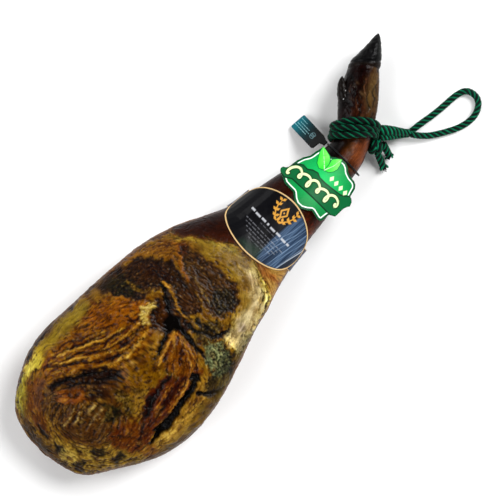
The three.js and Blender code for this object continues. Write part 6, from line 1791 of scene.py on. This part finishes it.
# the underside carries the same print at 0.55, as painted shade
put_colour(tag, "tint", np.vstack([(ink.c * 0.55).reshape(-1, 3), ink.c.reshape(-1, 3)]))
outward(tag)
for ob_ in (tag, badge):
    bv = ob_.modifiers.new("edge", "BEVEL")
    bv.width, bv.segments, bv.limit_method, bv.angle_limit = 0.00035, 2, "ANGLE", math.radians(50)
tag.data.materials.append(coated("tag_plastic", 0.36, 0.03))
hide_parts("seal_tag")
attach(tag, "root")

# ---------------------------------------------------------------- floor and light
floor = make_mesh("floor", [(-4000, -4000, 0), (4000, -4000, 0), (4000, 4000, 0), (-4000, 4000, 0)], np.array([[0, 1, 2, 3]]), smooth=False)
floor.location.z = -0.0006
fmat, fnt, fb = new_mat("pale_floor", Roughness=0.8, Specular_IOR_Level=0.15)
fpos = node(fnt, "ShaderNodeTexCoord").outputs["Object"]
fn = noise(fnt, fpos, 3.0, 2.0, 0.5)
fnt.links.new(ramp(fnt, fn.outputs["Fac"], [(0.3, (0.90, 0.90, 0.90)), (0.7, (0.93, 0.93, 0.93))]).outputs[0], fb.inputs["Base Color"])
floor.data.materials.append(fmat)

# a studio that is bright round the sides and dim overhead
world = bpy.data.worlds.new("studio")
world.use_nodes = True
wnt = world.node_tree
wbg = wnt.nodes["Background"]
wtc = wnt.nodes.new("ShaderNodeTexCoord")
wsp = wnt.nodes.new("ShaderNodeSeparateXYZ")
wnt.links.new(wtc.outputs["Generated"], wsp.inputs[0])
wrp = ramp(wnt, wsp.outputs["Z"], [(0.0, 1.0), (0.08, 0.9), (0.2, 0.5), (0.5, 0.4), (0.78, 0.13), (1.0, 0.03)])
wnt.links.new(wrp.outputs[0], wbg.inputs[0])
wbg.inputs[1].default_value = 1.0
bpy.context.scene.world = world


def softbox(name, plan, height, size, watts, aim=(0.0, 0.0, 0.04), colour=(1, 1, 1)):
    """Area light; plan is its offset from the middle as (right, up) of the view, in metres."""
    d = bpy.data.lights.new(name, "AREA")
    d.shape = "RECTANGLE"
    d.size, d.size_y = size
    d.energy = watts
    d.color = colour
    ob = bpy.data.objects.new(name, d)
    bpy.context.scene.collection.objects.link(ob)
    rx, ry = math.cos(TURN), -math.sin(TURN)
    ux, uy = math.sin(TURN), math.cos(TURN)
    ob.location = (VIEW_C[0] * MM + plan[0] * rx + plan[1] * ux, VIEW_C[1] * MM + plan[0] * ry + plan[1] * uy, height)
    ob.rotation_euler = (Vector(aim) - ob.location).to_track_quat("-Z", "Y").to_euler()
    return ob


sun_data = bpy.data.lights.new("sun", "SUN")
sun_data.energy = 2.6
sun_data.angle = math.radians(30)
sun = bpy.data.objects.new("sun", sun_data)
bpy.context.scene.collection.objects.link(sun)
sx, sy, sz = 0.66, 0.5, 1.0            # towards the light: right, up the view, height
rx, ry, ux, uy = math.cos(TURN), -math.sin(TURN), math.sin(TURN), math.cos(TURN)
sun.rotation_euler = Vector((sx * rx + sy * ux, sx * ry + sy * uy, sz)).to_track_quat("Z", "Y").to_euler()
fill_data = bpy.data.lights.new("fill_sun", "SUN")
fill_data.energy = 1.5
fill_data.angle = math.radians(40)
fill = bpy.data.objects.new("fill_sun", fill_data)
bpy.context.scene.collection.objects.link(fill)
fill.rotation_euler = Vector((-0.85 * rx - 0.25 * ux, -0.85 * ry - 0.25 * uy, 1.0)).to_track_quat("Z", "Y").to_euler()
softbox("key", (1.7, 1.0), 1.1, (0.5, 0.5), 13)
softbox("side", (-1.0, 1.6), 1.3, (0.9, 0.7), 7)
softbox("low", (0.6, -1.8), 1.2, (1.0, 0.7), 5)

scene = bpy.context.scene
scene.view_settings.view_transform = "Standard"
scene.view_settings.look = "None"
scene.view_settings.exposure = 0.0

bpy.context.view_layer.update()
